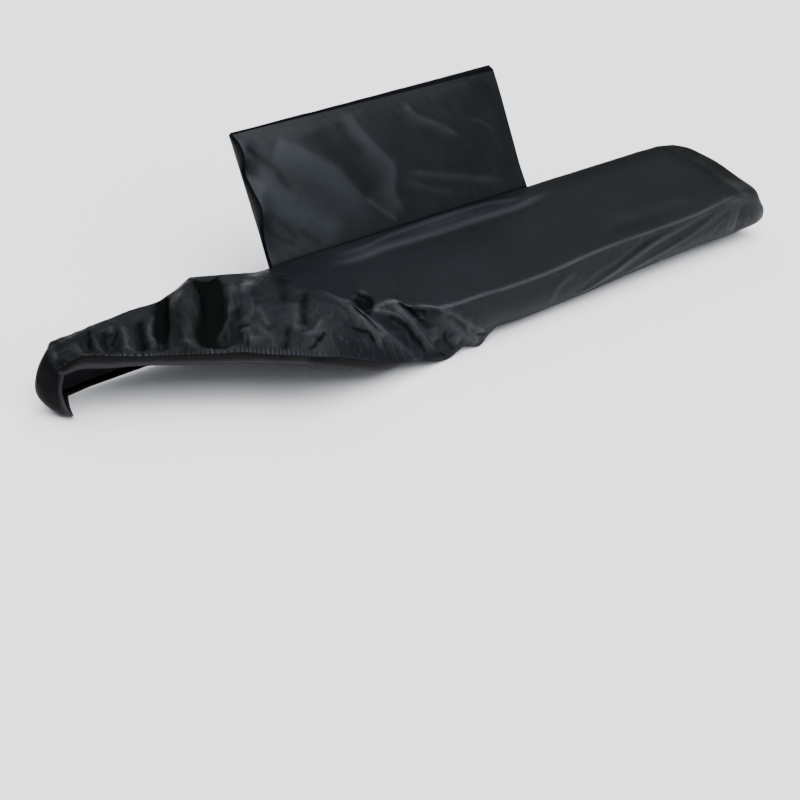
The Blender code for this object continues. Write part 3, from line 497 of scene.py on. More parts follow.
# ---------------------------------------------------------------- the cover's middle surface
class Form:
    """The cover's fine grids: top[column, row], skirt[loop, row] and the loop's edge lines.

    The loop runs along the front left to right, up the right end, along the rear right to
    left and down the left end.  Rows run from the crease down to the gather.
    """

    def __init__(self, detail):
        self.t = np.concatenate([np.linspace(0, 0.16, 11), np.linspace(0.16, 0.84, 26)[1:],
                                 np.linspace(0.84, 1, 10)[1:]])
        self.v = np.concatenate([np.linspace(0, SLOT_SHARE, 7),
                                 np.linspace(SLOT_SHARE, 0.84, 22)[1:],
                                 np.linspace(0.84, 1, 9)[1:]])
        self.place = np.array([k + j / (row[0] * detail) for k, row in enumerate(FRONT)
                               for j in range(row[0] * detail)] + [len(FRONT) - 1.0])
        front = through(np.array(FRONT, float)[:, 1:], self.place)
        self.rear_x, front_side = front[:, 0], front[:, 1:]
        left_rows, right_rows = (through(table[:, 1:], self.t, table[:, 0])
                                 for table in (np.array(LEFT_END), np.array(RIGHT_END)))
        rear_side = self._rear_side()
        front_side[0, :9], front_side[-1, :9] = left_rows[0, :9], right_rows[0, :9]
        rear_side[0, :9], rear_side[-1, :9] = left_rows[-1, :9], right_rows[-1, :9]
        self.loop = np.concatenate([front_side, right_rows[1:-1], rear_side[::-1],
                                    left_rows[1:-1][::-1]], 0)
        self.columns = len(self.rear_x)
        self.rear = self.columns + len(self.t) - 2 + np.arange(self.columns)
        self.slot_row = int(np.argmin(abs(self.v - SLOT_SHARE)))
        slot = (self.rear_x >= SLOT_LEFT - 0.01) & (self.rear_x <= SLOT_RIGHT + 0.01)
        self.slot_loops = self.rear[slot[::-1]]
        self.top = self._top(front_side, rear_side, left_rows, right_rows)
        self.skirt = self._skirt()

    def _rear_side(self):
        """Crease, gather, band, belly and peak along the rear, by x."""
        x, rear = self.rear_x, np.array(REAR, float)
        crease = np.stack([np.interp(x, rear[:, 0], rear[:, c]) for c in range(5)], 1)
        hem_x = np.interp(x, (16, 60, 1285, 1316), (10, 60, 1285, 1324))
        hem_y = np.interp(x, (16, 60, 1285, 1322), (246, REAR_Y, 248, 237))
        hem_z = np.interp(x, (16, 200, 1200, 1316), (-10, REAR_HEM_Z, REAR_HEM_Z, -6))
        inward = np.interp(x, (16, 60, 1285, 1316), (12, 0, 0, -14))
        band = np.stack([hem_x + inward, hem_y - BAND_WIDTH * 0.9, hem_z - 1], 1)
        return np.concatenate([crease[:, :3], np.stack([hem_x, hem_y, hem_z], 1), band,
                               crease[:, 3:]], 1)

    def _top(self, front_side, rear_side, left_rows, right_rows):
        """Ruled from front crease to rear crease, led into the end curves, lightly crowned."""
        t = self.t[None, :, None]
        f, r = front_side[:, None, :3], rear_side[:, None, :3]
        top = (1 - t) * f + t * r
        a = np.linspace(0, 1, self.columns)
        for rows, weight, end in ((left_rows, (1 - a) ** 24, 0), (right_rows, a ** 10, -1)):
            ruled = (1 - t[0]) * front_side[end, :3] + t[0] * rear_side[end, :3]
            top += weight[:, None, None] * (rows[None, :, :3] - ruled[None])
        depth = np.linalg.norm(r - f, axis=2)
        crown = 4 * t[..., 0] * (1 - t[..., 0]) * np.clip((depth - 40) / 200, 0, 1) * CROWN
        top[..., 2] += crown * (np.sin(np.pi * np.clip(a, 0, 1)) ** 0.5)[:, None]
        top[:, 0], top[:, -1] = front_side[:, :3], rear_side[:, :3]
        top[0], top[-1] = left_rows[:, :3], right_rows[:, :3]
        return top

    def spot(self, line):
        """Points at (station, share): down the skirt, or back over the top if negative."""
        column = np.interp(line[:, 0], self.place, np.arange(self.columns))
        down, back = (np.interp(sign * line[:, 1], keys, np.arange(len(keys)))
                      for sign, keys in ((1, self.v), (-1, self.t)))
        return np.where(line[:, 1:] < 0, on_grid(self.top, column, back),
                        on_grid(self.skirt[:self.columns], column, down))

    def outward(self):
        """Unit direction out of the skirt at each loop station."""
        crease, gather = self.loop[:, 0:3], self.loop[:, 3:6]
        mid = 0.5 * (crease + gather)
        along = np.roll(mid, -1, 0) - np.roll(mid, 1, 0)
        out = np.cross(along, crease - gather)
        return out / np.linalg.norm(out, axis=1, keepdims=True)

    def _skirt(self):
        """Crease to gather in a straight line, swelled by the belly and the main folds."""
        v = self.v[None, :]
        crease, gather = self.loop[:, None, 0:3], self.loop[:, None, 3:6]
        swell = self.loop[:, 9:10] * np.sin(np.pi * v ** self.loop[:, 10:11])
        skirt = (1 - v[..., None]) * crease + v[..., None] * gather
        relief = np.zeros((len(self.loop), v.shape[1]))
        relief[:self.columns] = fold_relief(FOLDS, self.place[:, None], v)
        skirt = skirt + (swell + relief)[..., None] * self.outward()[:, None, :]
        skirt[:, 0], skirt[:, -1] = self.loop[:, 0:3], self.loop[:, 3:6]
        return skirt


# ---------------------------------------------------------------- meshes from grids
def numbers(shape, start=0):
    """Point numbers of a grid, counted from start."""
    return start + np.arange(shape[0] * shape[1]).reshape(shape[:2])


def quads(index, closed=False):
    """Quads of a grid of point numbers [i, j]; i closes on itself when asked."""
    a = index if not closed else np.concatenate([index, index[:1]], 0)
    return np.stack([a[:-1, :-1], a[1:, :-1], a[1:, 1:], a[:-1, 1:]], -1).reshape(-1, 4)


def point_normals(points, faces):
    """Unit normal at every point, the sum of the crossed diagonals of its quads."""
    p = points[faces]
    n = np.cross(p[:, 2] - p[:, 0], p[:, 3] - p[:, 1])
    total = np.zeros_like(points)
    for c in range(3):
        total[:, c] = np.bincount(faces.ravel(), np.repeat(n[:, c], 4), len(points))
    return total / (np.linalg.norm(total, axis=1, keepdims=True) + 1e-12)


def neighbours(faces, count):
    """Edge ends and the number of neighbours of every point of a quad mesh."""
    e = np.sort(np.concatenate([faces[:, [k, (k + 1) % 4]] for k in range(4)]), axis=1)
    e = np.unique(e, axis=0)
    e = e[e[:, 0] != e[:, 1]]
    return e, np.maximum(np.bincount(e.ravel(), minlength=count), 1)


def mean_of_neighbours(values, edges, degree):
    """Mean over the neighbours of every point."""
    total = np.zeros_like(values)
    for c in range(values.shape[1]):
        total[:, c] = (np.bincount(edges[:, 0], values[edges[:, 1], c], len(values))
                       + np.bincount(edges[:, 1], values[edges[:, 0], c], len(values)))
    return total / degree[:, None]


def relax(points, faces, weight, rounds):
    """Each round moves a point toward the mean of its neighbours by its weight."""
    edges, degree = neighbours(faces, len(points))
    for _ in range(rounds):
        points = points + weight[:, None] * (mean_of_neighbours(points, edges, degree) - points)
    return points


def ridge_share(points, faces, spread=3.2, height=0.0, painted_light_shift=0.0):
    """0 in a trough, 0.5 on flat cloth, 1 on a ridge: the rise over the neighbours' mean.

    spread is the rise (mm) from trough to ridge.  A height (mm) of broad folds over the
    plain cloth adds a fifth of itself, and a last painted shift of light or shade is added at
    the end.  The share sets painted shade in troughs and painted highlight on ridges.
    """
    edges, degree = neighbours(faces, len(points))
    mean = points
    for _ in range(3):
        mean = mean_of_neighbours(mean, edges, degree)
    rise = ((points - mean) * point_normals(points, faces)).sum(1)
    return np.clip(np.clip(0.5 + rise / spread + height / 5, 0, 1) + painted_light_shift, 0, 1)


def add_piece(name, points, faces, uv, material, node, ridge):
    """Mesh piece from points (mm), quads, a UV per point (m) and the ridge share."""
    mesh = bpy.data.meshes.new(name)
    place = (points - DATUM) * 0.001
    mesh.vertices.add(len(place))
    mesh.vertices.foreach_set("co", place.astype(np.float32).ravel())
    mesh.loops.add(faces.size)
    mesh.loops.foreach_set("vertex_index", faces.astype(np.int32).ravel())
    mesh.polygons.add(len(faces))
    mesh.polygons.foreach_set("loop_start", np.arange(len(faces), dtype=np.int32) * 4)
    mesh.update(calc_edges=True)
    layer = mesh.uv_layers.new(name="Cloth")
    layer.data.foreach_set("uv", uv[faces.ravel()].astype(np.float32).ravel())
    mark = mesh.attributes.new("ridge", "FLOAT", "POINT")
    mark.data.foreach_set("value", ridge.astype(np.float32))
    mesh.polygons.foreach_set("use_smooth", np.ones(len(faces), bool))
    mesh.materials.append(material)
    mesh.validate()
    piece = bpy.data.objects.new(name, mesh)
    bpy.context.scene.collection.objects.link(piece)
    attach(piece, "root")
    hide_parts(node)
    return piece


# ---------------------------------------------------------------- materials
# A taffeta's yarns lie 0.1 to 0.2 mm apart, too fine for the render, so the weave is drawn
# coarser; the casing's ribs and its stitches have their real size.  All are in metres.
YARN_PITCH, RIB_SCALE = 0.0004, 1000.0
STITCH_LONG, STITCH_GAP, STITCH_WIDE, STITCH_INSET = 0.0032, 0.0009, 0.0006, 0.0022


def linear(hex_colour):
    """sRGB hex to linear RGBA."""
    s = np.array([int(hex_colour[i:i + 2], 16) for i in (1, 3, 5)]) / 255.0
    rgb = np.where(s <= 0.04045, s / 12.92, ((s + 0.055) / 1.055) ** 2.4)
    return (*rgb.tolist(), 1.0)


def add_node(tree, kind, values=None, **settings):
    """New node with its settings; values are set, or linked where they are sockets."""
    new = tree.nodes.new(kind)
    for key, value in settings.items():
        setattr(new, key, value)
    for key, value in (values or {}).items():
        if isinstance(value, bpy.types.NodeSocket):
            tree.links.new(value, new.inputs[key])
        else:
            new.inputs[key].default_value = value
    return new


def new_fabric(name):
    """Material, tree and shader, and what a fabric reads: its UV, place and ridge mark, which
    carries painted shade and highlight.
    """
    material = bpy.data.materials.new(name)
    material.use_nodes = True
    tree = material.node_tree
    uv = add_node(tree, "ShaderNodeUVMap", uv_map="Cloth").outputs["UV"]
    place = add_node(tree, "ShaderNodeTexCoord").outputs["Object"]
    mark = add_node(tree, "ShaderNodeAttribute", attribute_name="ridge").outputs["Fac"]
    return material, tree, tree.nodes["Principled BSDF"], uv, place, mark


def vary(tree, total, noise, share):
    """total + share * (noise - 0.5)."""
    middle = add_node(tree, "ShaderNodeMath", {0: noise, 1: 0.5}, operation="SUBTRACT")
    return add_node(tree, "ShaderNodeMath", {0: middle.outputs[0], 1: share, 2: total},
                    operation="MULTIPLY_ADD").outputs[0]


def dye(tree, shader, painted_light_and_dust, stops):
    """Base colour through (share, hex) stops, by the painted shade and highlight and the dust
    at each point.
    """
    new = add_node(tree, "ShaderNodeValToRGB", {"Fac": painted_light_and_dust})
    while len(new.color_ramp.elements) < len(stops):
        new.color_ramp.elements.new(0.5)
    for element, (place, colour) in zip(new.color_ramp.elements, stops):
        element.position, element.color = place, linear(colour)
    tree.links.new(new.outputs["Color"], shader.inputs["Base Color"])


def emboss(tree, shader, layers):
    """Bump, each layer on the last: a height from 0 to 1, its strength and its metres."""
    under = {}
    for height, strength, metres in layers:
        bump = add_node(tree, "ShaderNodeBump", {"Height": height, "Strength": strength,
                                                 "Distance": metres, **under})
        under = {"Normal": bump.outputs["Normal"]}
    tree.links.new(under["Normal"], shader.inputs["Normal"])


def taffeta(name, colours, shine, crumples):
    """Closely woven black polyester with a soft sheen.

    Smooth filament yarns in a plain weave give the eye a near black cloth.  Its colour is
    painted a soft grey blue on raised folds and dark in hollows, painted highlight and
    painted shade, over faint dust.  colours are for a trough, flat cloth and a ridge, shine is
    a ridge's gloss, which fades to none in a trough as painted shade, and crumples is the
    strength of the finest creases.
    """
    material, tree, shader, uv, place, mark = new_fabric(name)
    dust, speck = (add_node(tree, "ShaderNodeTexNoise", {
        "Vector": place, "Scale": scale, "Detail": detail, "Roughness": 0.6}).outputs["Fac"]
        for scale, detail in ((9.0, 6.0), (420.0, 3.0)))
    # painted shade in the troughs and painted highlight on the ridges, from the ridge mark, with
    # real dust and specks over it
    painted_light_and_dust = vary(tree, vary(tree, mark, dust, 0.35), speck, 0.25)
    dye(tree, shader, painted_light_and_dust, tuple(zip((0.15, 0.5, 0.85), colours)))
    # the gloss follows the ridge mark too, dimmed in the troughs as painted shade
    for source, low, high, least, most, socket in (
            (dust, 0.3, 0.7, 0.37, 0.48, "Roughness"),
            (mark, 0.0, 1.0, 0.0, shine, "Specular IOR Level")):
        level = add_node(tree, "ShaderNodeMapRange", {
            "Value": source, "From Min": low, "From Max": high, "To Min": least, "To Max": most})
        tree.links.new(level.outputs["Result"], shader.inputs[socket])
    yarn, slub_place = (add_node(tree, "ShaderNodeMapping", {
        "Vector": uv, "Scale": (across, along, 1.0)}).outputs["Vector"]
        for across, along in ((1 / YARN_PITCH, 1 / YARN_PITCH), (900.0, 60.0)))
    # at a scale of 0.32 the bands of a wave texture are one unit apart
    warp, weft = (add_node(tree, "ShaderNodeTexWave", {
        "Vector": yarn, "Scale": 0.32, "Distortion": 0.6, "Detail": 1.0},
        bands_direction=way).outputs["Fac"] for way in "XY")
    weave = add_node(tree, "ShaderNodeMath", {0: warp, 1: weft},
                     operation="MULTIPLY").outputs[0]
    slub = add_node(tree, "ShaderNodeTexNoise", {"Vector": slub_place, "Scale": 1.0,
                                                 "Detail": 2.0}).outputs["Fac"]
    crumple = add_node(tree, "ShaderNodeTexNoise", {
        "Vector": place, "Scale": 38.0, "Detail": 3.0, "Roughness": 0.5, "Distortion": 0.6},
        noise_type="RIDGED_MULTIFRACTAL").outputs["Fac"]
    emboss(tree, shader, ((crumple, crumples, 0.0006), (slub, 0.25, 0.00006),
                          (weave, 0.5, 0.00008)))
    return material


def elastic_casing(name):
    """Black woven casing drawn smooth over elastic.

    It gives the eye a matte black tape with fine ribs across it and a line of stitches near
    each edge.  Its colour is painted darker under the gathers, as painted shade, and lighter
    toward its free edge, as painted reflected light, and darker in its ripples' hollows and
    lighter on their crests by its ridge mark.
    """
    material, tree, shader, uv, place, mark = new_fabric(name)
    dust = add_node(tree, "ShaderNodeTexNoise", {
        "Vector": place, "Scale": 14.0, "Detail": 5.0, "Roughness": 0.6}).outputs["Fac"]
    along, across, _ = add_node(tree, "ShaderNodeSeparateXYZ", {"Vector": uv}).outputs
    # painted shade under the gathers, painted light toward the free edge
    edge = add_node(tree, "ShaderNodeMapRange", {
        "Value": across, "From Min": 0.0015, "From Max": BAND_WIDTH * 0.001,
        "To Min": -0.5, "To Max": 0.45}).outputs["Result"]
    # painted light and shade from the ridge mark and the edge, with real dust
    painted_light_and_dust = add_node(tree, "ShaderNodeMath", {0: vary(tree, mark, dust, 0.5), 1: edge},
                    operation="ADD").outputs[0]
    dye(tree, shader, painted_light_and_dust, ((0.1, "#040404"), (0.5, "#0B0B0C"), (0.9, "#232124")))
    shader.inputs["Roughness"].default_value = 0.5
    shader.inputs["Specular IOR Level"].default_value = 0.05
    rib_place = add_node(tree, "ShaderNodeMapping", {
        "Vector": uv, "Scale": (RIB_SCALE, 40.0, 1.0)}).outputs["Vector"]
    rib = add_node(tree, "ShaderNodeTexWave", {
        "Vector": rib_place, "Scale": 0.22, "Distortion": 1.2, "Detail": 2.0},
        bands_direction="X").outputs["Fac"]
    upper, lower = (add_node(tree, "ShaderNodeMath", {0: across, 1: seam, 2: STITCH_WIDE},
                             operation="COMPARE").outputs[0]
                    for seam in (STITCH_INSET, BAND_WIDTH * 0.001 - STITCH_INSET))
    seams = add_node(tree, "ShaderNodeMath", {0: upper, 1: lower}, operation="MAXIMUM").outputs[0]
    dash = add_node(tree, "ShaderNodeMath", {0: along, 1: STITCH_LONG},
                    operation="PINGPONG").outputs[0]
    dash = add_node(tree, "ShaderNodeMath", {0: dash, 1: STITCH_GAP},
                    operation="GREATER_THAN").outputs[0]
    stitch = add_node(tree, "ShaderNodeMath", {0: seams, 1: dash},
                      operation="MULTIPLY").outputs[0]
    emboss(tree, shader, ((rib, 0.5, 0.00025), (stitch, 0.6, 0.0004)))
    return material


# ---------------------------------------------------------------- settings
class CoverSettings(bpy.types.PropertyGroup):
    """How finely the cover is built and how much it is creased."""

    detail: bpy.props.IntProperty(
        name="Columns per step", description="Grid columns for one column of the solid",
        default=8, min=1, max=8)
    crease_rounds: bpy.props.IntProperty(
        name="Crease rounding", description="Smoothing rounds at the edges of the top",
        default=12, min=0, max=40)
    gather_rise: bpy.props.FloatProperty(
        name="Gather rise", description="Height of the gathers above the elastic",
        default=0.0018, unit="LENGTH")
    gather_pitch: bpy.props.FloatProperty(
        name="Gather pitch", description="Usual distance from one gather to the next",
        default=0.0078, unit="LENGTH")
    crumple: bpy.props.FloatProperty(
        name="Crumple", description="Height of small random creases",
        default=0.0007, unit="LENGTH")


class HoodSettings(bpy.types.PropertyGroup):
    """The hood's folds."""

    rows: bpy.props.IntProperty(
        name="Rows", description="Grid rows from the slot to the top edge",
        default=90, min=8, max=200)
    crumple: bpy.props.FloatProperty(
        name="Crumple", description="Height of small random creases",
        default=0.0003, unit="LENGTH")


class StageSettings(bpy.types.PropertyGroup):
    """Camera, floor and studio light."""

    lens: bpy.props.FloatProperty(
        name="Lens", description="Focal length for a 36 mm sensor, in millimetres",
        default=52.42)
    eye: bpy.props.FloatVectorProperty(
        name="Camera place", description="Place of the camera",
        default=(-1.0591, -1.4057, 0.9600), size=3, subtype="TRANSLATION", unit="LENGTH")
    heading: bpy.props.FloatProperty(
        name="Heading", description="Turn of the view from straight ahead to the right",
        default=math.radians(34.608), subtype="ANGLE", unit="ROTATION")
    dip: bpy.props.FloatProperty(
        name="Dip", description="How far the view looks down",
        default=math.radians(35.705), subtype="ANGLE", unit="ROTATION")
    roll: bpy.props.FloatProperty(
        name="Roll", description="Tilt of the camera about its view",
        default=math.radians(0.198), subtype="ANGLE", unit="ROTATION")
    key: bpy.props.FloatProperty(
        name="Key light", description="Strength of the high front light", default=4.0)
    overhead: bpy.props.FloatProperty(
        name="Overhead light", description="Strength of the light over the left end",
        default=2.4)
    side: bpy.props.FloatProperty(
        name="Side light", description="Strength of the high light from the right",
        default=1.3)
    front: bpy.props.FloatProperty(
        name="Front light", description="Strength of the low light from the front right",
        default=1.5)
    rear: bpy.props.FloatProperty(
        name="Rear light", description="Strength of the wide light from behind",
        default=0.7)
    sky: bpy.props.FloatProperty(
        name="Surround", description="Brightness of the surround", default=0.25)


# ---------------------------------------------------------------- pieces
class Cloth:
    """The cloth as one mesh: point numbers of the top's grid, its rim and the skirt."""

    def __init__(self, form):
        self.form = form
        n, nt, nv, count = form.columns, len(form.t), len(form.v), len(form.loop)
        self.top = top = numbers((n, nt))
        self.rim = np.concatenate([top[:, 0], top[-1, 1:-1], top[::-1, -1], top[0, 1:-1][::-1]])
        self.skirt = np.concatenate([self.rim[:, None], numbers((count, nv - 1), n * nt)], 1)
        self.points = np.concatenate([form.top.reshape(-1, 3),
                                      form.skirt[:, 1:].reshape(-1, 3)])
        sides = quads(self.skirt[:, ::-1], closed=True).reshape(count, nv - 1, 4)
        keep = np.ones((count, nv - 1), bool)
        keep[form.slot_loops.min():form.slot_loops.max(), nv - 1 - form.slot_row:] = False
        self.faces = np.concatenate([quads(top), sides[keep]])
        self.slot_edge = np.unique(self.skirt[form.slot_loops][:, [0, form.slot_row]])
        self.away = slice(n, form.rear[-1] + 1)  # loops up the right end and along the rear

    def round_edges(self, rounds):
        """Relaxes the points near the edge of the top, and none at the slot."""
        form = self.form
        weight = np.zeros(len(self.points))
        weight[self.top] = (smooth_step(1 - form.t / 0.08)
                            + 0.15 * smooth_step(1 - (1 - form.t) / 0.07))[None, :]
        for end, least in ((self.top[:4], 0.7), (self.top[-4:], 0.25)):
            weight[end] = np.maximum(weight[end], least)
        weight[self.skirt] = smooth_step(1 - form.v / 0.16)[None, :]
        weight[self.skirt[self.away]] *= 0.3
        weight[self.slot_edge] = 0
        self.points = relax(self.points, self.faces, weight * 0.6, rounds)

    def fill_corners(self):
        """The cloth stands a few millimetres fuller at its right corners than the solid."""
        x, y, z = self.points.T
        rear = (smooth_step((x - 1240) / 80) * smooth_step((y + 5) / 150)
                * smooth_step((z - 20) / 50))
        self.points = self.points + rear[:, None] * np.array([2.2, 0.0, 3.2])
        x, y, z = self.points.T
        front = (smooth_step((x - 1280) / 50) * smooth_step((z - 10) / 50)
                 * np.exp(-((y - 40) / 50) ** 2))
        self.points = self.points + front[:, None] * np.array([5.0, 0.0, 1.0])

    def crease(self, s):
        """Moves the points along their normals; returns the height of the broad folds (mm),
        which sets painted highlight on their crests and painted shade in their hollows.

        The move is the sum of placed creases, gathers over the elastic, puckers down the
        rear and small crumples, held to nothing at the hem.
        """
        form, skirt, points = self.form, self.skirt, self.points
        v = form.v[None, :]
        normals = point_normals(points, self.faces)
        placed = crease_relief(LINES, form.spot, points, normals)
        lift = placed.copy()

        along = arc_length(form.loop[:, 3:6])
        slack, rough_loop = (np.full(len(along), rest) for rest in
                             (SLACK_ELSEWHERE, CRUMPLED_ELSEWHERE))
        slack[:form.columns] = np.interp(form.place, *SLACK)
        flute = gathers(along, 11, s.gather_pitch * 1000)[:, None] * slack[:, None]
        knots = np.arange(0, along[-1] + 20, 16.0)
        tall = np.interp(along, knots,
                         np.random.default_rng(12).uniform(0.02, 0.055, len(knots)))
        reach = np.exp(-((1 - v) / tall[:, None]) ** 1.5)
        lift[skirt] += s.gather_rise * 1000 * flute * reach
        # the gathers' crests add to the painted highlight
        placed[skirt] += 2.2 * np.maximum(flute, 0) * reach

        spread = np.stack(np.broadcast_arrays(along[:, None], 40.0 * v), -1)
        pucker = 2.0 * waves(spread, 58.0, 7) + 1.0 * waves(spread, 27.0, 8)
        pucker *= 0.6 + 0.6 * waves(spread, 240.0, 9)
        pucker[:form.rear[0]], pucker[form.rear[-1] + 1:] = 0, 0
        pucker[form.rear] *= np.interp(form.rear_x[::-1], (16, 90, 1230, 1316),
                                       (0, 1, 1, 0))[:, None]
        pucker *= smooth_step((v - 0.14) / 0.7) * smooth_step((1 - v) / 0.16)
        lift[skirt] += pucker
        # the puckers add to the painted shade and highlight
        placed[skirt] += 0.4 * pucker

        rough_loop[:form.columns] = np.interp(form.place, *CRUMPLED_SKIRT)
        rough = np.zeros(len(points))
        rough[self.top] = np.interp(form.place, *CRUMPLED_TOP)[:, None]
        rough[skirt] = rough_loop[:, None]
        fine = crinkle(points, 34.0, 3) + 0.5 * crinkle(points, 16.0, 4) - 0.6
        lift += s.crumple * 1000 * rough * fine
        lift += 0.6 * rough * waves(points, 60.0, 5) + 0.4 * waves(points, 190.0, 6)
        lift[skirt[:, 1:]] *= smooth_step((1 - v) / 0.04)[:, 1:]
        lift[self.slot_edge] = 0
        self.points = points + normals * lift[:, None]
        return placed

    def painted_shade_at(self):
        """Painted shade at each point, taken off its ridge share to darken its colour and dim its
        gloss; along the front crease it is negative, a painted highlight.
        """
        form, n = self.form, self.form.columns
        ahead, behind = (np.interp(form.place, *painted_shade) for painted_shade in (PAINTED_SHADE_FRONT, PAINTED_SHADE_REAR))
        high = np.concatenate([ahead, np.interp(form.t[1:-1], *PAINTED_SHADE_RIGHT_END), behind[::-1],
                               np.full(len(form.loop) - self.away.stop, PAINTED_SHADE_LEFT_END)])
        low = high.copy()
        low[self.away] = np.minimum(low[self.away], PAINTED_SHADE_LOW)
        edge_share = smooth_step((form.t - 0.72) / 0.28)[None, :]
        end_share = smooth_step((form.place - 31.8) / 1.6)[:, None]
        painted_shade = np.zeros(len(self.points))
        painted_shade[self.top] = (np.minimum(ahead, behind)[:, None]
                          + (behind - ahead)[:, None] * np.maximum(
                              edge_share, end_share * smooth_step(form.t / 0.12)[None, :]))
        painted_shade[self.skirt] = (high[:, None]
                            + (low - high)[:, None] * smooth_step(form.v[None, :] / 0.3))
        painted_highlight = np.interp(form.place, *PAINTED_HIGHLIGHT_CREASE)
        for line, share in ((self.rim[:n], 1.0), (self.top[:, 1], 0.6), (self.skirt[:n, 1], 0.6)):
            painted_shade[line] -= share * painted_highlight
        return painted_shade

    def uv(self):
        """UV in metres: the top from above, the skirt by the way along its rim and down."""
        form = self.form
        uv = np.zeros((len(self.points), 2))
        uv[self.top] = form.top[..., :2] * 0.001
        crease, gather = form.loop[:, 0:3], form.loop[:, 3:6]
        drop = form.v[None, 1:] * np.linalg.norm(crease - gather, axis=1)[:, None]
        uv[self.skirt[:, 1:], 0] = arc_length(crease)[:, None] * 0.001
        uv[self.skirt[:, 1:], 1] = -drop * 0.001
        return uv


class PIANOCOVER_OT_cloth(bpy.types.Operator):
    """Builds the draped cloth: top panel and skirt, with folds, gathers and rounded edges."""

    bl_idname = "pianocover.cloth"
    bl_label = "Cover cloth"

    def execute(self, context):
        """Ruled top and bellied skirt; each point is moved along its normal by its folds."""
        s = context.scene.piano_cover
        cloth = Cloth(Form(s.detail))
        cloth.round_edges(s.crease_rounds)
        cloth.fill_corners()
        placed = cloth.crease(s)
        # painted shade and highlight: the ridge share, the creases' heights and the painted shade
        # set the base colour and gloss
        mark = ridge_share(cloth.points, cloth.faces, height=placed, painted_light_shift=-cloth.painted_shade_at())
        fabric = taffeta("black polyester taffeta", ("#090A0A", "#0D0F13", "#181B20"), 0.20, 0.12)
        piece = add_piece("cover_cloth_sheet", cloth.points, cloth.faces, cloth.uv(), fabric,
                          "cover_cloth", mark)
        return {"FINISHED"}


class PIANOCOVER_OT_band(bpy.types.Operator):
    """Builds the elastic band that is sewn round the gathered hem."""

    bl_idname = "pianocover.band"
    bl_label = "Elastic band"

    def execute(self, context):
        """A closed strip: across it a flat pillow, along it the hem line of the form."""
        s = context.scene.piano_cover
        form = Form(s.detail)
        upper, lower = form.loop[:, 3:6], form.loop[:, 6:9]
        along = np.roll(upper, -1, 0) - np.roll(upper, 1, 0)
        out = np.cross(along, upper - lower)
        out /= np.linalg.norm(out, axis=1, keepdims=True)
        share = np.linspace(0, 1, 8)
        ring = np.concatenate([share, share[::-1]])
        side = np.repeat([1.0, -1.0], len(share))
        pillow = 0.35 + 0.55 * np.sin(np.pi * ring) ** 0.6
        length = arc_length(upper)
        pull = gathers(length, 11, s.gather_pitch * 1000)
        ripple = 0.15 * pull[:, None] * (np.exp(-ring / 0.25) + 0.25)[None, :]
        grid = (upper[:, None] * (1 - ring[None, :, None]) + lower[:, None] * ring[None, :, None]
                + out[:, None] * (side * pillow + ripple)[..., None])
        index = numbers(grid.shape)
        faces = quads(np.concatenate([index, index[:, :1]], 1)[:, ::-1], closed=True)
        points = grid.reshape(-1, 3)
        uv = np.stack(np.broadcast_arrays(length[:, None], ring[None] * BAND_WIDTH), -1) * 0.001
        # the band's ridge mark paints shade in its ripples' hollows and highlight on their crests
        piece = add_piece("elastic_band_sheet", points, faces, uv.reshape(-1, 2),
                          elastic_casing("black elastic casing"),
                          "elastic_band", ridge_share(points, faces, 1.0))
        return {"FINISHED"}


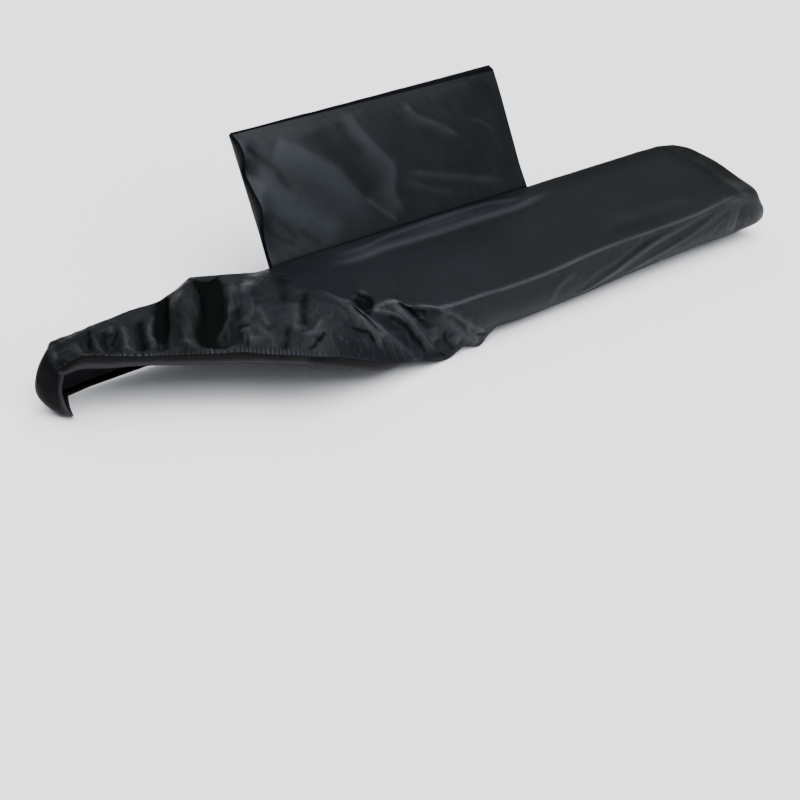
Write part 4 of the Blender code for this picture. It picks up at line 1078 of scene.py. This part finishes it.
class Hood:
    """The hood's front and back as grids [across, up], from the slot to the top edge."""

    def __init__(self, form, s):
        self.form, self.s = form, s
        loops = form.slot_loops[::-1]
        self.lip, self.heel = form.skirt[loops, 0], form.skirt[loops, form.slot_row]
        left, right = self.lip[0, 0], self.lip[-1, 0]
        self.across, self.up = (self.lip[:, 0] - left) / (right - left), np.linspace(0, 1, s.rows)
        self.a, self.u = self.across[:, None], self.up[None, :]
        self.flat = np.stack(np.broadcast_arrays(self.a * HOOD_WIDE, self.u * HOOD_TALL), -1)
        # the folds fade toward the sides and the top edge
        self.inner = (smooth_step(self.a / 0.02) * smooth_step((1 - self.a) / 0.02)
                      * smooth_step((1 - self.u) / 0.03))
        self.lean = np.array([0.0, math.sin(HOOD_LEAN), math.cos(HOOD_LEAN)])
        self.ahead = np.array([0.0, -math.cos(HOOD_LEAN), math.sin(HOOD_LEAN)])
        self.slant = HOOD_SLANT_LEFT + (HOOD_SLANT_RIGHT - HOOD_SLANT_LEFT) * self.across
        middle = self.heel[len(self.heel) // 2]
        self.plane = np.stack([self.lip[:, 0], np.full(len(self.lip), middle[1]),
                               np.full(len(self.lip), middle[2])], 1)
        self.settle = (1 - smooth_step(self.up / 0.25))[None, :, None]
        self.taper = HOOD_TAPER_RIGHT * self.a * self.u

    def back(self):
        """A leaning plane that settles on the slot's rear edge, with small creases."""
        back = self.plane[:, None] + (self.slant[:, None] * self.u)[..., None] * self.lean
        back[..., 0] -= self.taper
        back = back + self.settle * (self.heel - self.plane)[:, None]
        back[:, 0] = self.heel
        small = (0.8 * waves(self.flat, 90.0, 31)
                 + self.s.crumple * 1000 * (crinkle(self.flat, 48.0, 32) - 0.4))
        return back - (small * self.inner * smooth_step(self.u / 0.1))[..., None] * self.ahead

    def front(self):
        """As the back, but ahead of it by the gusset's width; also its creases' height."""
        left, middle, right = (
            through([[w] for _, w in table], self.up, [at for at, _ in table])[:, 0]
            for table in (GUSSET_LEFT, GUSSET_MIDDLE, GUSSET_RIGHT))
        near_left = np.exp(-(self.across / 0.035) ** 2)[:, None]
        near_right = np.exp(-((1 - self.across) / 0.10) ** 2)[:, None]
        width = (middle[None] * (1 - near_left) * (1 - near_right)
                 + left[None] * near_left + right[None] * near_right)
        slanted = self.flat @ np.array([[0.8, 0.15], [0.6, -0.2]])
        off = width + self.inner * (0.5 * waves(self.flat, 150.0, 21)
                                    + self.s.crumple * 1000 * (
                                        waves(self.flat, 45.0, 22)
                                        + 0.5 * waves(slanted, 17.0, 23)))
        drop = TOP_RISE_LEFT + (TOP_RISE_RIGHT - TOP_RISE_LEFT) * self.across
        rise = ((self.slant - drop)[:, None] * self.u)[..., None]
        front = self.plane[:, None] + rise * self.lean + off[..., None] * self.ahead
        front[..., 0] -= self.taper
        front = ((1 - self.settle) * front
                 + self.settle * (front - front[:, :1] + self.lip[:, None]))
        front[:, 0] = self.lip
        flat = front.reshape(-1, 3)
        facing = point_normals(flat, quads(numbers(front.shape)))
        columns = np.arange(len(self.lip))
        height = crease_relief(
            HOOD_LINES, lambda line: on_grid(front, np.interp(line[:, 0], self.across, columns),
                                             line[:, 1] * (self.s.rows - 1)), flat, facing)
        height = height * np.broadcast_to(self.inner, front.shape[:2]).ravel()
        return (flat + facing * height[:, None]).reshape(front.shape), height


def gusset(front, back, rows):
    """Strip from the front's rim to the back's, bowed outward, and its UV in metres."""
    rim_front, rim_back = (np.concatenate([grid[0], grid[1:, -1], grid[-1, -2::-1]])
                           for grid in (front, back))
    share = np.linspace(0, 1, 9)[None, :, None]
    strip = (1 - share) * rim_front[:, None] + share * rim_back[:, None]
    outside = np.zeros_like(rim_front)
    outside[1:rows - 1, 0], outside[rows:-rows, 2], outside[-rows + 1:-1, 0] = -1, 1, 1
    ripple = 3.0 + 0.4 * waves(rim_front, 60.0, 41)
    strip = strip + (np.sin(np.pi * share) * ripple[:, None, None]) * outside[:, None]
    length = arc_length(0.5 * (rim_front + rim_back))
    uv = np.stack(np.broadcast_arrays(length[:, None], share[..., 0] * GUSSET_WIDE), -1)
    return strip, uv * 0.001


class PIANOCOVER_OT_hood(bpy.types.Operator):
    """Builds the hood: front and back panels and the gusset between them."""

    bl_idname = "pianocover.hood"
    bl_label = "Hood"

    def execute(self, context):
        """Leaning panels from the slot's edges; the front stands off the back by the gusset."""
        s = context.scene.piano_hood
        hood = Hood(Form(context.scene.piano_cover.detail), s)
        (front, height), back = hood.front(), hood.back()
        fabric = taffeta("black polyester taffeta of the hood",
                         ("#07080A", "#0D1013", "#1B1F23"), 0.15, 0.10)
        # painted light on the hood: lighter toward its left side, and painted shade along its
        # foot at the slot
        painted_light_and_dust = (np.interp(hood.across, *HOOD_PAINTED_LIGHT)[:, None]
                - 0.4 * np.exp(-(hood.up / 0.015) ** 2)[None, :]).ravel()
        for name, grid, node, way, folds in (
                ("hood_front_sheet", front, "hood_front_panel", 1, height),
                ("hood_back_sheet", back, "hood_back_panel", -1, 0.0)):
            points, faces = grid.reshape(-1, 3), quads(numbers(grid.shape)[::way])
            piece = add_piece(name, points, faces, hood.flat.reshape(-1, 2) * 0.001, fabric,
                              node, ridge_share(points, faces, 4.0, folds, painted_light_and_dust))

        strip, uv = gusset(front, back, s.rows)
        points, faces = strip.reshape(-1, 3), quads(numbers(strip.shape))
        # the gusset is pulled toward its trough colour: painted shade on the hood's side strip
        piece = add_piece("hood_gusset_sheet", points, faces, uv.reshape(-1, 2), fabric,
                          "hood_gusset", ridge_share(points, faces, painted_light_shift=-0.48))
        return {"FINISHED"}


# ---------------------------------------------------------------- stage
def add_light(name, toward, spread, strength, colour):
    """Distant soft light: its direction from the cover, its spread in degrees, strength."""
    data = bpy.data.lights.new(name, "SUN")
    data.angle, data.energy = math.radians(spread), strength
    data.color = linear(colour)[:3]
    lamp = bpy.data.objects.new(name, data)
    back = np.array(toward) / np.linalg.norm(toward)
    lamp.rotation_euler = (math.acos(back[2]), 0.0, math.atan2(back[1], back[0]) + math.pi / 2)
    bpy.context.scene.collection.objects.link(lamp)


class PIANOCOVER_OT_stage(bpy.types.Operator):
    """Sets the camera, a pale floor and soft studio light."""

    bl_idname = "pianocover.stage"
    bl_label = "Stage"

    def execute(self, context):
        """Camera axes from heading, dip and roll; the floor lies just under the hem."""
        s = context.scene.piano_stage
        a, p, r = s.heading, s.dip, s.roll
        view = np.array([math.sin(a) * math.cos(p), math.cos(a) * math.cos(p), -math.sin(p)])
        right = np.array([math.cos(a), -math.sin(a), 0.0])
        over = np.cross(right, view)
        matrix = np.eye(4)
        matrix[:3, 0] = math.cos(r) * right + math.sin(r) * over
        matrix[:3, 1] = -math.sin(r) * right + math.cos(r) * over
        matrix[:3, 2], matrix[:3, 3] = -view, s.eye
        data = bpy.data.cameras.new("photo_camera")
        data.sensor_width, data.lens = 36.0, s.lens
        data.clip_start, data.clip_end = 0.05, 60.0
        camera = bpy.data.objects.new("photo_camera", data)
        camera.matrix_world = Matrix(matrix.tolist())
        context.scene.collection.objects.link(camera)
        context.scene.camera = camera

        under_hem, half = 0.0015, 14.0
        level = CAD_BOX[0][2] - under_hem
        mesh = bpy.data.meshes.new("floor")
        mesh.from_pydata([(x * half, y * half, level)
                          for x, y in ((-1, -1), (1, -1), (1, 1), (-1, 1))], [], [(0, 1, 2, 3)])
        pale = bpy.data.materials.new("pale studio floor")
        pale.use_nodes = True
        shader = pale.node_tree.nodes["Principled BSDF"]
        shader.inputs["Base Color"].default_value = linear("#ECEDEF")
        shader.inputs["Roughness"].default_value = 0.9
        shader.inputs["Specular IOR Level"].default_value = 0.1
        mesh.materials.append(pale)
        floor = bpy.data.objects.new("floor", mesh)
        context.scene.collection.objects.link(floor)

        add_light("key", (0.05, -0.50, 0.86), 44.0, s.key, "#FFFFFF")
        add_light("overhead", (-0.20, -0.05, 0.98), 40.0, s.overhead, "#FAFBFF")
        add_light("side", (0.46, 0.10, 0.88), 30.0, s.side, "#FFFFFF")
        add_light("front", (0.28, -0.80, 0.48), 50.0, s.front, "#F4F8FF")
        add_light("rear", (0.12, 0.74, 0.66), 60.0, s.rear, "#F4F8FF")
        world = bpy.data.worlds.new("surround")
        world.use_nodes = True
        back = world.node_tree.nodes["Background"]
        back.inputs["Color"].default_value = (1.0, 1.0, 1.0, 1.0)
        back.inputs["Strength"].default_value = s.sky
        context.scene.world = world
        return {"FINISHED"}


class PIANOCOVER_PT_panel(bpy.types.Panel):
    """Lists the pieces and their settings."""

    bl_label = "Piano Cover"
    bl_idname = "PIANOCOVER_PT_panel"
    bl_space_type = "VIEW_3D"
    bl_region_type = "UI"
    bl_category = "Piano Cover"

    def draw(self, context):
        """A box for each group of settings, with its operators."""
        for group, operators in ((context.scene.piano_cover, ("cloth", "band")),
                                 (context.scene.piano_hood, ("hood",)),
                                 (context.scene.piano_stage, ("stage",))):
            box = self.layout.box()
            for name in group.__annotations__:
                box.prop(group, name)
            for operator in operators:
                box.operator("pianocover." + operator)


CLASSES = (CoverSettings, HoodSettings, StageSettings, PIANOCOVER_OT_cloth,
           PIANOCOVER_OT_band, PIANOCOVER_OT_hood, PIANOCOVER_OT_stage, PIANOCOVER_PT_panel)


def register():
    """Adds the classes, and the three groups of settings to the scene."""
    for cls in CLASSES:
        bpy.utils.register_class(cls)
    bpy.types.Scene.piano_cover = bpy.props.PointerProperty(type=CoverSettings)
    bpy.types.Scene.piano_hood = bpy.props.PointerProperty(type=HoodSettings)
    bpy.types.Scene.piano_stage = bpy.props.PointerProperty(type=StageSettings)


def unregister():
    """Takes them out again, the last one first."""
    del bpy.types.Scene.piano_stage
    del bpy.types.Scene.piano_hood
    del bpy.types.Scene.piano_cover
    for cls in reversed(CLASSES):
        bpy.utils.unregister_class(cls)


def main():
    """Builds the stage and every piece."""
    register()
    bpy.ops.pianocover.stage()
    bpy.ops.pianocover.cloth()
    bpy.ops.pianocover.band()
    bpy.ops.pianocover.hood()


if __name__ == "__main__":
    main()
